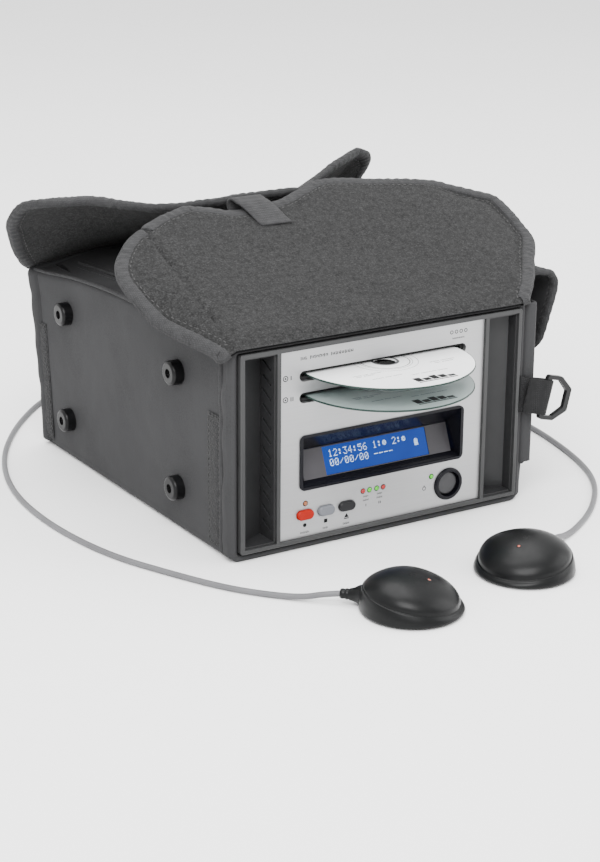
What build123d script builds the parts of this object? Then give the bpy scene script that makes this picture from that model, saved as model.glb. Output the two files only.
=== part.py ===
from build123d import *
import math
import os

os.makedirs("parts", exist_ok=True)

# A twin disc interview recorder in its padded carry case, with two table microphones.
# X is to the right, Y to the back and Z up, in millimetres. The origin is the middle of the
# case's underside. Depths that begin at FRONT count back from the face of the front panel.

# ---- Driving dimensions ----
DISC_DIA = 120.0
DISC_THICK = 1.2
DISC_HOLE_DIA = 15.0
PANEL_WIDTH = 163.0
PANEL_THICK = 3.0
FRAME_WIDTH = 224.0
FRAME_HEIGHT = 136.4
FRAME_LIP = 3.0
FRAME_DEPTH = 12.0
CASE_WIDTH = 234.0
CASE_DEPTH = 287.0
CASE_HEIGHT = 146.5
CASE_FLOOR = 5.6
CHASSIS_DEPTH = 270.0
FLAP_THICK = 5.0
LEAD_DIA = 4.0
MIC_RADIUS = 32.5
MIC_HEIGHT = 26.0
GAP = 0.1

# ---- Places worked out from them ----
FRONT = -CASE_DEPTH / 2
BACK = CASE_DEPTH / 2
SIDE = CASE_WIDTH / 2
MID_X = -0.5
FRAME_BOTTOM = CASE_FLOOR + 0.2
FRAME_TOP = FRAME_BOTTOM + FRAME_HEIGHT
OPEN_BOTTOM = FRAME_BOTTOM + FRAME_LIP
OPEN_TOP = FRAME_TOP - FRAME_LIP
OPEN_HEIGHT = OPEN_TOP - OPEN_BOTTOM
OPEN_MID = (OPEN_TOP + OPEN_BOTTOM) / 2
OPEN_SIDE = FRAME_WIDTH / 2 - FRAME_LIP
PANEL_LEFT = MID_X - PANEL_WIDTH / 2
PANEL_RIGHT = MID_X + PANEL_WIDTH / 2
DIVIDER = 2.8
SLOT_WIDTH = 133.0
SLOT_HEIGHT = 7.2
SLOT_Z = {"a": 120.6, "b": 105.8}
DRIVE_HEIGHT = 12.7
DRIVE_FRONT = FRONT + 8
DRIVE_DEPTH = 132.0
DRIVE_WIDTH = 131.0
ROLLER_DIA = 4.4
ROLLER_Y = FRONT + 12
DISC_TRAVEL = 75.0
KEY_X = {"record": -62.0, "stop": -45.5, "eject": -29.0}
KEY_Z = 24.5
POWER_AT = (54.4, 24.5)
LED_Z = 32.3
LED_DIA = 3.0
HINGE_Z = CASE_HEIGHT + 1.0
FRONT_FLAP_TILT = 22.0
REAR_FLAP_TILT = 35.0
POUCH_OUT = SIDE + 11.0
SOCKET_Z = 60.0
SOCKET_X = 40.0


def facing(y):
    """A sketch plane that looks out of the front, at depth y: local x is X, local y is Z."""
    return Plane.XZ.offset(-y)


def block(x, y, z, mode=Mode.ADD):
    """A box between two ranges on each axis."""
    with Locations(((x[0] + x[1]) / 2, (y[0] + y[1]) / 2, (z[0] + z[1]) / 2)):
        Box(x[1] - x[0], y[1] - y[0], z[1] - z[0], mode=mode)


def write(piece, name):
    """Labels a finished piece and writes its file."""
    piece.part.label = name
    export_step(piece.part, f"parts/{name}.step")


# ======== Padded case ========

FOOT_SPOTS = [(FRONT + y, z) for y in (70.0, 236.0) for z in (32.5, 113.5)]
FOOT_LENGTH = 9.0
SCREW_CLEAR_DIA = 3.6

# Sleeve of padded cloth, open at the front and at the back.
with BuildPart() as case_shell:
    with BuildSketch(facing(FRONT + 1)):
        with Locations((0, CASE_HEIGHT / 2)):
            RectangleRounded(CASE_WIDTH, CASE_HEIGHT, 5)
        with Locations((0, (FRAME_TOP + GAP + CASE_FLOOR) / 2)):
            Rectangle(FRAME_WIDTH + 1, FRAME_TOP + 0.3 - CASE_FLOOR, mode=Mode.SUBTRACT)
    extrude(amount=-(CASE_DEPTH - 2))
    with BuildSketch(Plane.YZ.offset(-SIDE - 1)):
        with Locations(*FOOT_SPOTS):
            Circle(SCREW_CLEAR_DIA / 2)
    extrude(amount=8, mode=Mode.SUBTRACT)
write(case_shell, "case_shell")

# Four rubber feet on the left side, which is the underside when the case is carried.
with BuildPart() as side_feet:
    with BuildSketch(Plane.YZ.offset(-SIDE - GAP)):
        with Locations(*FOOT_SPOTS):
            Circle(8.5)
            Circle(SCREW_CLEAR_DIA / 2, mode=Mode.SUBTRACT)
    extrude(amount=-FOOT_LENGTH)
    with BuildSketch(Plane.YZ.offset(-SIDE - GAP - FOOT_LENGTH)):
        with Locations(*FOOT_SPOTS):
            Circle(3.2)
    extrude(amount=5, mode=Mode.SUBTRACT)
    rims = side_feet.edges().filter_by(GeomType.CIRCLE).filter_by(lambda e: e.radius > 8)
    fillet(rims.group_by(Axis.X)[0], 2.2)
write(side_feet, "side_feet")

with BuildPart() as foot_screws:
    with BuildSketch(Plane.YZ.offset(-SIDE - FOOT_LENGTH + 4.9)):
        with Locations(*FOOT_SPOTS):
            Circle(2.9)
    extrude(amount=-2)
    with BuildSketch(Plane.YZ.offset(-SIDE - FOOT_LENGTH + 4.9)):
        with Locations(*FOOT_SPOTS):
            Circle(1.5)
    extrude(amount=8)
write(foot_screws, "foot_screws")

# Hook strips that hold the side wings of the two end flaps when they are closed.
STRIP_Z = (7.0, 98.0)
with BuildPart() as hook_strips:
    for y0 in (FRONT + 13, FRONT + 267):
        block((-SIDE - GAP - 1.3, -SIDE - GAP), (y0, y0 + 17), STRIP_Z)
write(hook_strips, "hook_strips")

# Flat lead pocket on the right side, open at the top.
POUCH_Z = (26.0, 144.0)
POUCH_WALL = 1.6
with BuildPart() as side_pouch:
    block((SIDE + GAP, POUCH_OUT), (FRONT + 1, BACK - 1), POUCH_Z)
    block(
        (SIDE + GAP + POUCH_WALL, POUCH_OUT - POUCH_WALL),
        (FRONT + 1 + POUCH_WALL, BACK - 1 - POUCH_WALL),
        (POUCH_Z[0] + POUCH_WALL, POUCH_Z[1] + 1),
        mode=Mode.SUBTRACT,
    )
write(side_pouch, "side_pouch")

# The pocket's flap, hinged at the case's top edge, standing out and drooping.
with BuildPart() as pouch_flap:
    with BuildSketch(facing(FRONT + 38)):
        with BuildLine():
            FilletPolyline(
                (SIDE + 5, 152.5),
                (SIDE + 44, 153),
                (SIDE + 58, 144),
                (SIDE + 53, 126),
                (SIDE + 44, 87),
                radius=5,
            )
            offset(amount=4, side=Side.RIGHT)
        make_face()
    extrude(amount=-212)
write(pouch_flap, "pouch_flap")


# Front flap, folded back over the top with its lining up. It covers the panel when closed.
FLAP_START = 6.0
front_lean = math.radians(FRONT_FLAP_TILT)
FRONT_FLAP_PLANE = Plane(
    origin=(0, FRONT, HINGE_Z),
    x_dir=(1, 0, 0),
    z_dir=(0, -math.sin(front_lean), math.cos(front_lean)),
)
FRONT_FLAP_LENGTH = 159.0
with BuildPart() as front_flap:
    with BuildSketch(FRONT_FLAP_PLANE.offset(-FLAP_THICK / 2)) as front_outline:
        with BuildLine():
            Polyline(
                (0, FLAP_START),
                (SIDE - 3, FLAP_START),
                (SIDE + 23, 28),
                (SIDE + 43, 60),
                (SIDE + 54, 98),
                (SIDE + 45, 132),
                (SIDE + 20, 151),
                (SIDE - 12, FRONT_FLAP_LENGTH),
                (0, FRONT_FLAP_LENGTH),
            )
            mirror(about=Plane.YZ)
        make_face()
        fillet([v for v in front_outline.vertices() if abs(v.X) > SIDE + 15], 14)
    extrude(amount=FLAP_THICK)
write(front_flap, "front_flap")

# Webbing pull tab, sewn under the front flap and folded over its hem.
TAB_WIDTH = 25.0
TAB_LEFT = -26.0
TAB_THICK = 1.5
with BuildPart() as flap_tab:
    tab_plane = Plane(
        origin=(TAB_LEFT, FRONT, HINGE_Z),
        x_dir=(0, math.cos(front_lean), math.sin(front_lean)),
        z_dir=(1, 0, 0),
    )
    half = FLAP_THICK / 2 + GAP
    with BuildSketch(tab_plane):
        with BuildLine():
            Polyline(
                (FRONT_FLAP_LENGTH - 30, half),
                (FRONT_FLAP_LENGTH + GAP, half),
                (FRONT_FLAP_LENGTH + GAP, -half),
                (FRONT_FLAP_LENGTH - 22, -half),
            )
            offset(amount=TAB_THICK, side=Side.LEFT)
        make_face()
    extrude(amount=TAB_WIDTH)
write(flap_tab, "flap_tab")

# Rear flap, raised and bent forward over the top. It covers the sockets when closed. Its
# right wing is folded under, so that side is the shorter one.
REAR_RISE = 100.0
REAR_HEM_Y = FRONT + 154
rear_lean = math.radians(REAR_FLAP_TILT)
bend_y = BACK - REAR_RISE * math.cos(rear_lean)
bend_z = HINGE_Z + REAR_RISE * math.sin(rear_lean)
with BuildPart() as rear_flap:
    with BuildSketch(Plane.YZ.offset(-SIDE - 60)):
        with BuildLine():
            FilletPolyline(
                (BACK - FLAP_START * math.cos(rear_lean), HINGE_Z + FLAP_START * math.sin(rear_lean)),
                (bend_y, bend_z),
                (REAR_HEM_Y, bend_z - 3),
                radius=20,
            )
            offset(amount=FLAP_THICK, side=Side.LEFT)
        make_face()
    extrude(amount=2 * (SIDE + 60))
    with BuildSketch(Plane.XY.offset(HINGE_Z - 20)) as rear_outline:
        with BuildLine():
            Polyline(
                (-SIDE + 3, BACK + 10),
                (-SIDE + 3, BACK - 5),
                (-SIDE - 25, BACK - 24),
                (-SIDE - 46, BACK - 52),
                (-SIDE - 48, BACK - 76),
                (-SIDE - 30, BACK - 96),
                (-SIDE + 10, BACK - 118),
                (-SIDE + 40, REAR_HEM_Y - 10),
                (SIDE - 40, REAR_HEM_Y - 10),
                (SIDE - 14, BACK - 112),
                (SIDE + 10, BACK - 90),
                (SIDE + 18, BACK - 66),
                (SIDE + 12, BACK - 26),
                (SIDE - 3, BACK - 5),
                (SIDE - 3, BACK + 10),
                close=True,
            )
        make_face()
        fillet([v for v in rear_outline.vertices() if abs(v.X) > SIDE + 5], 9)
    extrude(amount=100, mode=Mode.INTERSECT)
write(rear_flap, "rear_flap")

# Strap rings at the two ends of the right side, each hung in a sewn loop of webbing.
RING_AT = (SIDE + 16.0, FRONT - 3.4, 75.5)
RING_DROOP = 14.0
RING_THICK = 3.4
RING_BAR = 30.0
LOOP_RADIUS = 4.2
LOOP_BORE = 2.7
ring_tilt = math.radians(RING_DROOP)
RING_UP = (math.sin(ring_tilt), 0, math.cos(ring_tilt))
RING_OUT = (math.cos(ring_tilt), 0, -math.sin(ring_tilt))
RING_PLANE = Plane(origin=RING_AT, x_dir=RING_OUT, z_dir=(0, -1, 0))
LOOP_PLANE = Plane(origin=RING_AT, x_dir=RING_OUT, z_dir=RING_UP)

with BuildPart() as d_ring_front:
    with BuildSketch(RING_PLANE.offset(-RING_THICK / 2)):
        with BuildLine():
            FilletPolyline(
                (-RING_THICK / 2, -RING_BAR / 2 - 1),
                (11, -RING_BAR / 2 - 1),
                (22, -8),
                (22, 8),
                (11, RING_BAR / 2 + 1),
                (-RING_THICK / 2, RING_BAR / 2 + 1),
                radius=2.5,
                close=True,
            )
        make_face()
        with BuildLine():
            FilletPolyline(
                (RING_THICK / 2, -RING_BAR / 2 + 2),
                (9.5, -RING_BAR / 2 + 2),
                (18, -6),
                (18, 6),
                (9.5, RING_BAR / 2 - 2),
                (RING_THICK / 2, RING_BAR / 2 - 2),
                radius=1.2,
                close=True,
            )
        make_face(mode=Mode.SUBTRACT)
    extrude(amount=RING_THICK)
write(d_ring_front, "d_ring_front")

with BuildPart() as d_ring_rear:
    mirror(d_ring_front.part, about=Plane.XZ)
write(d_ring_rear, "d_ring_rear")

WEB_WIDTH = 25.0
with BuildPart() as ring_webbing:
    with BuildSketch(LOOP_PLANE.offset(-WEB_WIDTH / 2)):
        Circle(LOOP_RADIUS)
    extrude(amount=WEB_WIDTH)
    with BuildSketch(facing(FRONT + 0.8)):
        with BuildLine():
            Polyline(
                (SIDE - 4, 67.5),
                (SIDE + 9.5, 65.5),
                (SIDE + 13.5, 63.4),
                (SIDE + 19.0, 86.6),
                (SIDE + 9.5, 89.5),
                (SIDE - 4, 92.5),
                close=True,
            )
        make_face()
    extrude(amount=2)
    with BuildSketch(LOOP_PLANE.offset(-WEB_WIDTH)):
        Circle(LOOP_BORE)
    extrude(amount=2 * WEB_WIDTH, mode=Mode.SUBTRACT)
    mirror(about=Plane.XZ)
write(ring_webbing, "ring_webbing")

# ======== Recorder: frame, panel and chassis ========

GRIPS = {"left": (-OPEN_SIDE, PANEL_LEFT - DIVIDER), "right": (PANEL_RIGHT + DIVIDER, OPEN_SIDE)}

with BuildPart() as front_frame:
    with BuildSketch(facing(FRONT - 2)):
        with Locations((0, OPEN_MID)):
            RectangleRounded(FRAME_WIDTH, FRAME_HEIGHT, 2)
        with Locations((MID_X, OPEN_MID)):
            Rectangle(PANEL_WIDTH, OPEN_HEIGHT, mode=Mode.SUBTRACT)
        for x0, x1 in GRIPS.values():
            with Locations(((x0 + x1) / 2, OPEN_MID)):
                Rectangle(x1 - x0, OPEN_HEIGHT, mode=Mode.SUBTRACT)
    extrude(amount=-FRAME_DEPTH)
    front_rims = front_frame.faces().sort_by(Axis.Y)[0].outer_wire().edges()
    fillet(front_rims, 0.8)
write(front_frame, "front_frame")

# Scooped finger grips beside the panel: shallow outside, deep inside, with slanted vents.
GRIP_SHALLOW = 8.0
GRIP_DEEP = 18.0
GRIP_WALL = 1.2


def grip_liner(outer_x, inner_x):
    """One grip pocket between its outer side and its inner, deeper side."""
    toward_outer = 1 if outer_x > inner_x else -1
    out_x = outer_x - toward_outer * GAP
    in_x = inner_x + toward_outer * GAP
    wall = toward_outer * GRIP_WALL
    with BuildPart() as liner:
        with BuildSketch(Plane.XY.offset(OPEN_BOTTOM + GAP)):
            with BuildLine():
                Polyline(
                    (out_x, FRONT),
                    (in_x, FRONT),
                    (in_x, FRONT + GRIP_DEEP + GRIP_WALL),
                    (out_x, FRONT + GRIP_SHALLOW + GRIP_WALL),
                    close=True,
                )
            make_face()
        extrude(amount=OPEN_HEIGHT - 2 * GAP)
        with BuildSketch(Plane.XY.offset(OPEN_BOTTOM + GAP + GRIP_WALL)):
            with BuildLine():
                Polyline(
                    (out_x - wall, FRONT - 1),
                    (in_x + wall, FRONT - 1),
                    (in_x + wall, FRONT + GRIP_DEEP),
                    (out_x - wall, FRONT + GRIP_SHALLOW),
                    close=True,
                )
            make_face()
        extrude(amount=OPEN_HEIGHT - 2 * GAP - 2 * GRIP_WALL, mode=Mode.SUBTRACT)
        for row in range(12):
            height = OPEN_BOTTOM + 10.5 + 10 * row
            with Locations(Location((in_x, FRONT + 9.5, height), (28, 0, 0))):
                Box(4, 12, 1.8, mode=Mode.SUBTRACT)
    return liner


grip_liner_left = grip_liner(*GRIPS["left"])
write(grip_liner_left, "grip_liner_left")
grip_liner_right = grip_liner(*reversed(GRIPS["right"]))
write(grip_liner_right, "grip_liner_right")

BEZEL_X = (-66.5, 65.5)
BEZEL_Z = (41.6, 80.0)
BEZEL_MID = ((BEZEL_X[0] + BEZEL_X[1]) / 2, (BEZEL_Z[0] + BEZEL_Z[1]) / 2)
BEZEL_SIZE = (BEZEL_X[1] - BEZEL_X[0], BEZEL_Z[1] - BEZEL_Z[0])
KEY_SIZE = (12.8, 6.8)
RED_LEVELS_X = (-16.0, 0.4)
GREEN_LEVELS_X = (-10.7, -4.9)
RECORD_LED_X = -61.6
POWER_LED_X = 40.2
LED_SPOTS = [(x, LED_Z) for x in (*RED_LEVELS_X, *GREEN_LEVELS_X, RECORD_LED_X, POWER_LED_X)]

with BuildPart() as front_panel:
    with BuildSketch(facing(FRONT)):
        with Locations((MID_X, OPEN_MID)):
            Rectangle(PANEL_WIDTH - 2 * GAP, OPEN_HEIGHT - 2 * GAP)
        with Locations(*[(MID_X, z) for z in SLOT_Z.values()]):
            SlotOverall(SLOT_WIDTH, SLOT_HEIGHT, mode=Mode.SUBTRACT)
        with Locations(BEZEL_MID):
            RectangleRounded(BEZEL_SIZE[0] - 2, BEZEL_SIZE[1] - 2, 3, mode=Mode.SUBTRACT)
        with Locations(*[(x, KEY_Z) for x in KEY_X.values()]):
            SlotOverall(KEY_SIZE[0] + 0.5, KEY_SIZE[1] + 0.5, mode=Mode.SUBTRACT)
        with Locations(POWER_AT):
            Circle(10.6, mode=Mode.SUBTRACT)
        with Locations(*LED_SPOTS):
            Circle(LED_DIA / 2 + GAP, mode=Mode.SUBTRACT)
    extrude(amount=-PANEL_THICK)
write(front_panel, "front_panel")

with BuildPart() as chassis_tray:
    block((-110, 110), (FRONT + 10.2, FRONT + CHASSIS_DEPTH), (7.2, 8.4))
    for side in (-1, 1):
        edge = sorted((side * 108.6, side * 109.8))
        block(edge, (FRONT + 24, FRONT + CHASSIS_DEPTH - 2), (8.4, 30))
write(chassis_tray, "chassis_tray")

with BuildPart() as chassis_cover:
    block((-111.4, 111.4), (FRONT + 24, FRONT + CHASSIS_DEPTH), (140.2, 141.4))
    for side in (-1, 1):
        edge = sorted((side * 110.2, side * 111.4))
        block(edge, (FRONT + 24, FRONT + CHASSIS_DEPTH), (9, 140.2))
write(chassis_cover, "chassis_cover")

REAR_Y = FRONT + CHASSIS_DEPTH
DC_AT = (78.0, 30.0)
MONITOR_AT = (0.0, 60.0)
JACK_HOLE = 5.2
REAR_SCREWS = [(x, z) for x in (-103.0, 103.0) for z in (14.0, 134.0)]
with BuildPart() as rear_panel:
    with BuildSketch(facing(REAR_Y + GAP)):
        with Locations((0, 74)):
            Rectangle(219, 131)
        with Locations((-SOCKET_X, SOCKET_Z), (SOCKET_X, SOCKET_Z), MONITOR_AT):
            Circle(JACK_HOLE, mode=Mode.SUBTRACT)
        with Locations(DC_AT):
            Circle(5.6, mode=Mode.SUBTRACT)
        with Locations(*REAR_SCREWS):
            Circle(1.7, mode=Mode.SUBTRACT)
        with GridLocations(14, 5, 8, 4):
            with Locations((0, 108)):
                SlotOverall(10, 2, mode=Mode.SUBTRACT)
    extrude(amount=-1.5)
write(rear_panel, "rear_panel")

with BuildPart() as chassis_screws:
    with BuildSketch(facing(REAR_Y + 1.7)):
        with Locations(*REAR_SCREWS):
            Circle(2.8)
    extrude(amount=-1.6)
    with BuildSketch(facing(REAR_Y + 1.7)):
        with Locations(*REAR_SCREWS):
            Circle(1.5)
    extrude(amount=5)
write(chassis_screws, "chassis_screws")

# ======== Display ========

FACE_LOW = (FRONT + 4.0, 46.3)
FACE_HIGH = (FRONT + 11.8, 65.6)
FACE_HALF = 59.5
RECESS_HALF = 63.6
face_run = math.hypot(FACE_HIGH[0] - FACE_LOW[0], FACE_HIGH[1] - FACE_LOW[1])
face_dir = ((FACE_HIGH[0] - FACE_LOW[0]) / face_run, (FACE_HIGH[1] - FACE_LOW[1]) / face_run)
# Local x is X, local y runs up the sloping face, and the normal points out of it.
FACE_PLANE = Plane(
    origin=(MID_X, FACE_LOW[0], FACE_LOW[1]),
    x_dir=(1, 0, 0),
    z_dir=(0, -face_dir[1], face_dir[0]),
)
LCD_SIZE = (83.0, 18.8)

with BuildPart() as display_bezel:
    with BuildSketch(facing(FRONT - 1.0)):
        with Locations(BEZEL_MID):
            RectangleRounded(BEZEL_SIZE[0], BEZEL_SIZE[1], 4)
    extrude(amount=-(1.0 - GAP))
    with BuildSketch(facing(FRONT - GAP)):
        with Locations(BEZEL_MID):
            RectangleRounded(BEZEL_SIZE[0] - 2.4, BEZEL_SIZE[1] - 2.4, 3)
    extrude(amount=-20)
    with BuildSketch(Plane.YZ.offset(MID_X - RECESS_HALF)):
        with BuildLine():
            Polyline(
                (FRONT - 3, BEZEL_Z[1] - 1.8),
                (FRONT, BEZEL_Z[1] - 1.8),
                FACE_HIGH,
                (FRONT + 21, FACE_HIGH[1] + 2),
                (FRONT + 21, FACE_LOW[1] - 2.2),
                (FACE_LOW[0] + 0.3, FACE_LOW[1] - 2.2),
                FACE_LOW,
                (FRONT + 1.5, FACE_LOW[1] - 1.6),
                (FRONT, BEZEL_Z[0] + 2.0),
                (FRONT - 3, BEZEL_Z[0] + 2.0),
                close=True,
            )
        make_face()
    extrude(amount=2 * RECESS_HALF, mode=Mode.SUBTRACT)
    for side in (-1, 1):
        with BuildSketch(Plane.XY.offset(BEZEL_Z[0] + 2.2)):
            with BuildLine():
                Polyline(
                    (MID_X + side * (RECESS_HALF + 0.5), FRONT),
                    (MID_X + side * (RECESS_HALF + 0.5), FRONT + 20),
                    (MID_X + side * (FACE_HALF + 1), FRONT + 20),
                    (MID_X + side * (FACE_HALF + 1), FRONT + 11.8),
                    (MID_X + side * RECESS_HALF, FRONT),
                    close=True,
                )
            make_face()
        extrude(amount=BEZEL_SIZE[1] - 4.4)
write(display_bezel, "display_bezel")

with BuildPart() as display_plate:
    with BuildSketch(FACE_PLANE):
        with Locations((0, face_run / 2)):
            Rectangle(2 * FACE_HALF, face_run - 0.6)
            Rectangle(LCD_SIZE[0] + 0.4, LCD_SIZE[1] + 0.4, mode=Mode.SUBTRACT)
    extrude(amount=-1.2)
write(display_plate, "display_plate")

with BuildPart() as lcd_module:
    with BuildSketch(FACE_PLANE.offset(-0.4)):
        with Locations((0, face_run / 2)):
            Rectangle(*LCD_SIZE)
    extrude(amount=-1.5)
    with BuildSketch(FACE_PLANE.offset(-1.3)):
        with Locations((0, face_run / 2)):
            Rectangle(2 * FACE_HALF - 4, face_run - 2)
    extrude(amount=-3.5)
write(lcd_module, "lcd_module")

# ======== Disc drives ========

with BuildPart() as dust_lips:
    for z in SLOT_Z.values():
        with BuildSketch(facing(FRONT + PANEL_THICK + GAP)):
            with Locations((MID_X, z)):
                RectangleRounded(SLOT_WIDTH + 6, SLOT_HEIGHT + 5, 2)
                SlotOverall(SLOT_WIDTH - 6, 2.4, mode=Mode.SUBTRACT)
        extrude(amount=-1.2)
write(dust_lips, "dust_lips")

DRIVE_X = (MID_X - DRIVE_WIDTH / 2, MID_X + DRIVE_WIDTH / 2)
DRIVE_Y = (DRIVE_FRONT, DRIVE_FRONT + DRIVE_DEPTH)
TABLE_Y = FRONT + DISC_TRAVEL
SHAFT_DIA = 2.0


def drive_housing(z):
    """Thin metal shell of one slot-loading drive, with its front slot and shaft holes."""
    with BuildPart() as housing:
        block(DRIVE_X, DRIVE_Y, (z - DRIVE_HEIGHT / 2, z + DRIVE_HEIGHT / 2))
        block(
            (DRIVE_X[0] + 0.8, DRIVE_X[1] - 0.8),
            (DRIVE_Y[0] + 0.8, DRIVE_Y[1] - 0.8),
            (z - DRIVE_HEIGHT / 2 + 0.8, z + DRIVE_HEIGHT / 2 - 0.8),
            mode=Mode.SUBTRACT,
        )
        block(
            (MID_X - 62.5, MID_X + 62.5),
            (DRIVE_Y[0] - 1, DRIVE_Y[0] + 2),
            (z - 2.2, z + 2.2),
            mode=Mode.SUBTRACT,
        )
        with BuildSketch(Plane.YZ.offset(DRIVE_X[0] - 1)):
            with Locations((ROLLER_Y, roller_z(z))):
                Circle(SHAFT_DIA / 2 + 0.05)
        extrude(amount=DRIVE_WIDTH + 2, mode=Mode.SUBTRACT)
    return housing


def roller_z(z):
    """Height of the loading roller's axis: it just clears the disc's underside."""
    return z - DISC_THICK / 2 - ROLLER_DIA / 2 - 0.05


def load_roller(z):
    """Steel shaft with a rubber sleeve, waisted so that it only touches the disc's edge."""
    with BuildPart() as roller:
        with BuildSketch(Plane.XY.offset(roller_z(z))):
            with BuildLine():
                Polyline(
                    (DRIVE_X[0] - 0.4, ROLLER_Y),
                    (DRIVE_X[0] - 0.4, ROLLER_Y + SHAFT_DIA / 2),
                    (MID_X - 56, ROLLER_Y + SHAFT_DIA / 2),
                    (MID_X - 56, ROLLER_Y + ROLLER_DIA / 2),
                    (MID_X, ROLLER_Y + ROLLER_DIA / 2 - 0.6),
                    (MID_X + 56, ROLLER_Y + ROLLER_DIA / 2),
                    (MID_X + 56, ROLLER_Y + SHAFT_DIA / 2),
                    (DRIVE_X[1] + 0.4, ROLLER_Y + SHAFT_DIA / 2),
                    (DRIVE_X[1] + 0.4, ROLLER_Y),
                    close=True,
                )
            make_face()
        revolve(axis=Axis((0, ROLLER_Y, roller_z(z)), (1, 0, 0)))
    return roller


def turntable(z):
    """Spindle hub that clamps and spins the loaded disc, shown lowered."""
    floor = z - DRIVE_HEIGHT / 2 + 0.8
    with BuildPart() as table:
        with BuildSketch(Plane.XY.offset(floor + 0.3)):
            with Locations((MID_X, TABLE_Y)):
                Circle(15)
        extrude(amount=2.4)
        with BuildSketch(Plane.XY.offset(floor + 2.7)):
            with Locations((MID_X, TABLE_Y)):
                Circle(7.2)
        extrude(amount=0.9, taper=20)
        with BuildSketch(Plane.XY.offset(floor + 0.3)):
            with Locations((MID_X, TABLE_Y + 11)):
                Circle(1.2)
        extrude(amount=3, mode=Mode.SUBTRACT)
    return table


def disc(z):
    """A recordable disc, half out of its slot, with its stacking ring."""
    with BuildPart() as one:
        with BuildSketch(Plane.XY.offset(z - DISC_THICK / 2)):
            with Locations((MID_X, FRONT)):
                Circle(DISC_DIA / 2)
                Circle(DISC_HOLE_DIA / 2, mode=Mode.SUBTRACT)
        extrude(amount=DISC_THICK)
        rims = one.edges().filter_by(GeomType.CIRCLE)
        fillet(rims, 0.2)
    return one


for letter, slot_z in SLOT_Z.items():
    write(drive_housing(slot_z), f"drive_housing_{letter}")
    write(load_roller(slot_z), f"load_roller_{letter}")
    write(turntable(slot_z), f"turntable_{letter}")
    write(disc(slot_z), f"disc_{letter}")

# Bent metal bracket that carries both drives off the tray.
BRACKET_TOP = SLOT_Z["a"] + DRIVE_HEIGHT / 2
with BuildPart() as drive_bracket:
    for side in (-1, 1):
        wall = sorted((MID_X + side * (DRIVE_WIDTH / 2 + 1.0), MID_X + side * (DRIVE_WIDTH / 2 + 2.2)))
        foot = sorted((MID_X + side * (DRIVE_WIDTH / 2 + 1.0), MID_X + side * (DRIVE_WIDTH / 2 + 14)))
        block(wall, (FRONT + 24, FRONT + 134), (8.5, BRACKET_TOP))
        block(foot, (FRONT + 24, FRONT + 134), (8.5, 9.7))
    shelf_top = SLOT_Z["b"] - DRIVE_HEIGHT / 2 - GAP
    shelf_x = (MID_X - DRIVE_WIDTH / 2 - 1.5, MID_X + DRIVE_WIDTH / 2 + 1.5)
    block(shelf_x, (FRONT + 24, FRONT + 134), (shelf_top - 1.2, shelf_top))
write(drive_bracket, "drive_bracket")

# ======== Keys, lamps and power switch ========

KEY_TRAVEL = 1.2
KEY_PROUD = 2.4


def key(name):
    """A stadium key cap with the flange that keeps it behind the panel."""
    with BuildPart() as cap:
        with BuildSketch(facing(FRONT - KEY_PROUD)):
            with Locations((KEY_X[name], KEY_Z)):
                SlotOverall(*KEY_SIZE)
        extrude(amount=-(KEY_PROUD + PANEL_THICK + 0.2))
        front_rim = cap.faces().sort_by(Axis.Y)[0].edges()
        fillet(front_rim, 1.2)
        with BuildSketch(facing(FRONT + PANEL_THICK + 0.2)):
            with Locations((KEY_X[name], KEY_Z)):
                SlotOverall(KEY_SIZE[0] + 2, KEY_SIZE[1] + 2)
        extrude(amount=-1.0)
    return cap


for name in KEY_X:
    write(key(name), f"{name}_button")

with BuildPart() as power_bezel:
    with BuildSketch(facing(FRONT - 1.6)):
        with Locations(POWER_AT):
            Circle(11.6)
    extrude(amount=-(1.6 - GAP))
    fillet(power_bezel.faces().sort_by(Axis.Y)[0].edges(), 1.2)
    with BuildSketch(facing(FRONT - GAP)):
        with Locations(POWER_AT):
            Circle(10.4)
    extrude(amount=-8)
    with BuildSketch(facing(FRONT - 3)):
        with Locations(POWER_AT):
            Circle(8.9)
    extrude(amount=-12, mode=Mode.SUBTRACT)
write(power_bezel, "power_bezel")

with BuildPart() as power_button:
    with BuildSketch(facing(FRONT + 0.8)):
        with Locations(POWER_AT):
            Circle(8.4)
    extrude(amount=-5.5)
    fillet(power_button.faces().sort_by(Axis.Y)[0].edges(), 1.4)
write(power_button, "power_button")

with BuildPart() as key_board:
    block((-74, 73), (FRONT + 12.2, FRONT + 13.8), (12, 38))
    for x in KEY_X.values():
        block((x - 3, x + 3), (FRONT + 8.4, FRONT + 12.2), (KEY_Z - 3, KEY_Z + 3))
        block((x - 1.5, x + 1.5), (FRONT + 6.2, FRONT + 8.4), (KEY_Z - 1.5, KEY_Z + 1.5))
    block((POWER_AT[0] - 4, POWER_AT[0] + 4), (FRONT + 9.0, FRONT + 12.2), (KEY_Z - 4, KEY_Z + 4))
write(key_board, "key_board")


def lamps(places):
    """Round-nosed lamps that stand just proud of the panel."""
    with BuildPart() as group:
        with BuildSketch(facing(FRONT - 0.9)):
            with Locations(*places):
                Circle(LED_DIA / 2)
        extrude(amount=-(0.9 + PANEL_THICK + 3))
        noses = group.faces().filter_by(Axis.Y).group_by(Axis.Y)[0].edges()
        fillet(noses, 0.8)
    return group


write(lamps([(RECORD_LED_X, LED_Z)]), "record_led")
write(lamps([(x, LED_Z) for x in RED_LEVELS_X]), "level_leds_red")
write(lamps([(x, LED_Z) for x in GREEN_LEVELS_X]), "level_leds_green")
write(lamps([(POWER_LED_X, LED_Z)]), "power_led")

# ======== Inside the chassis ========

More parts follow.
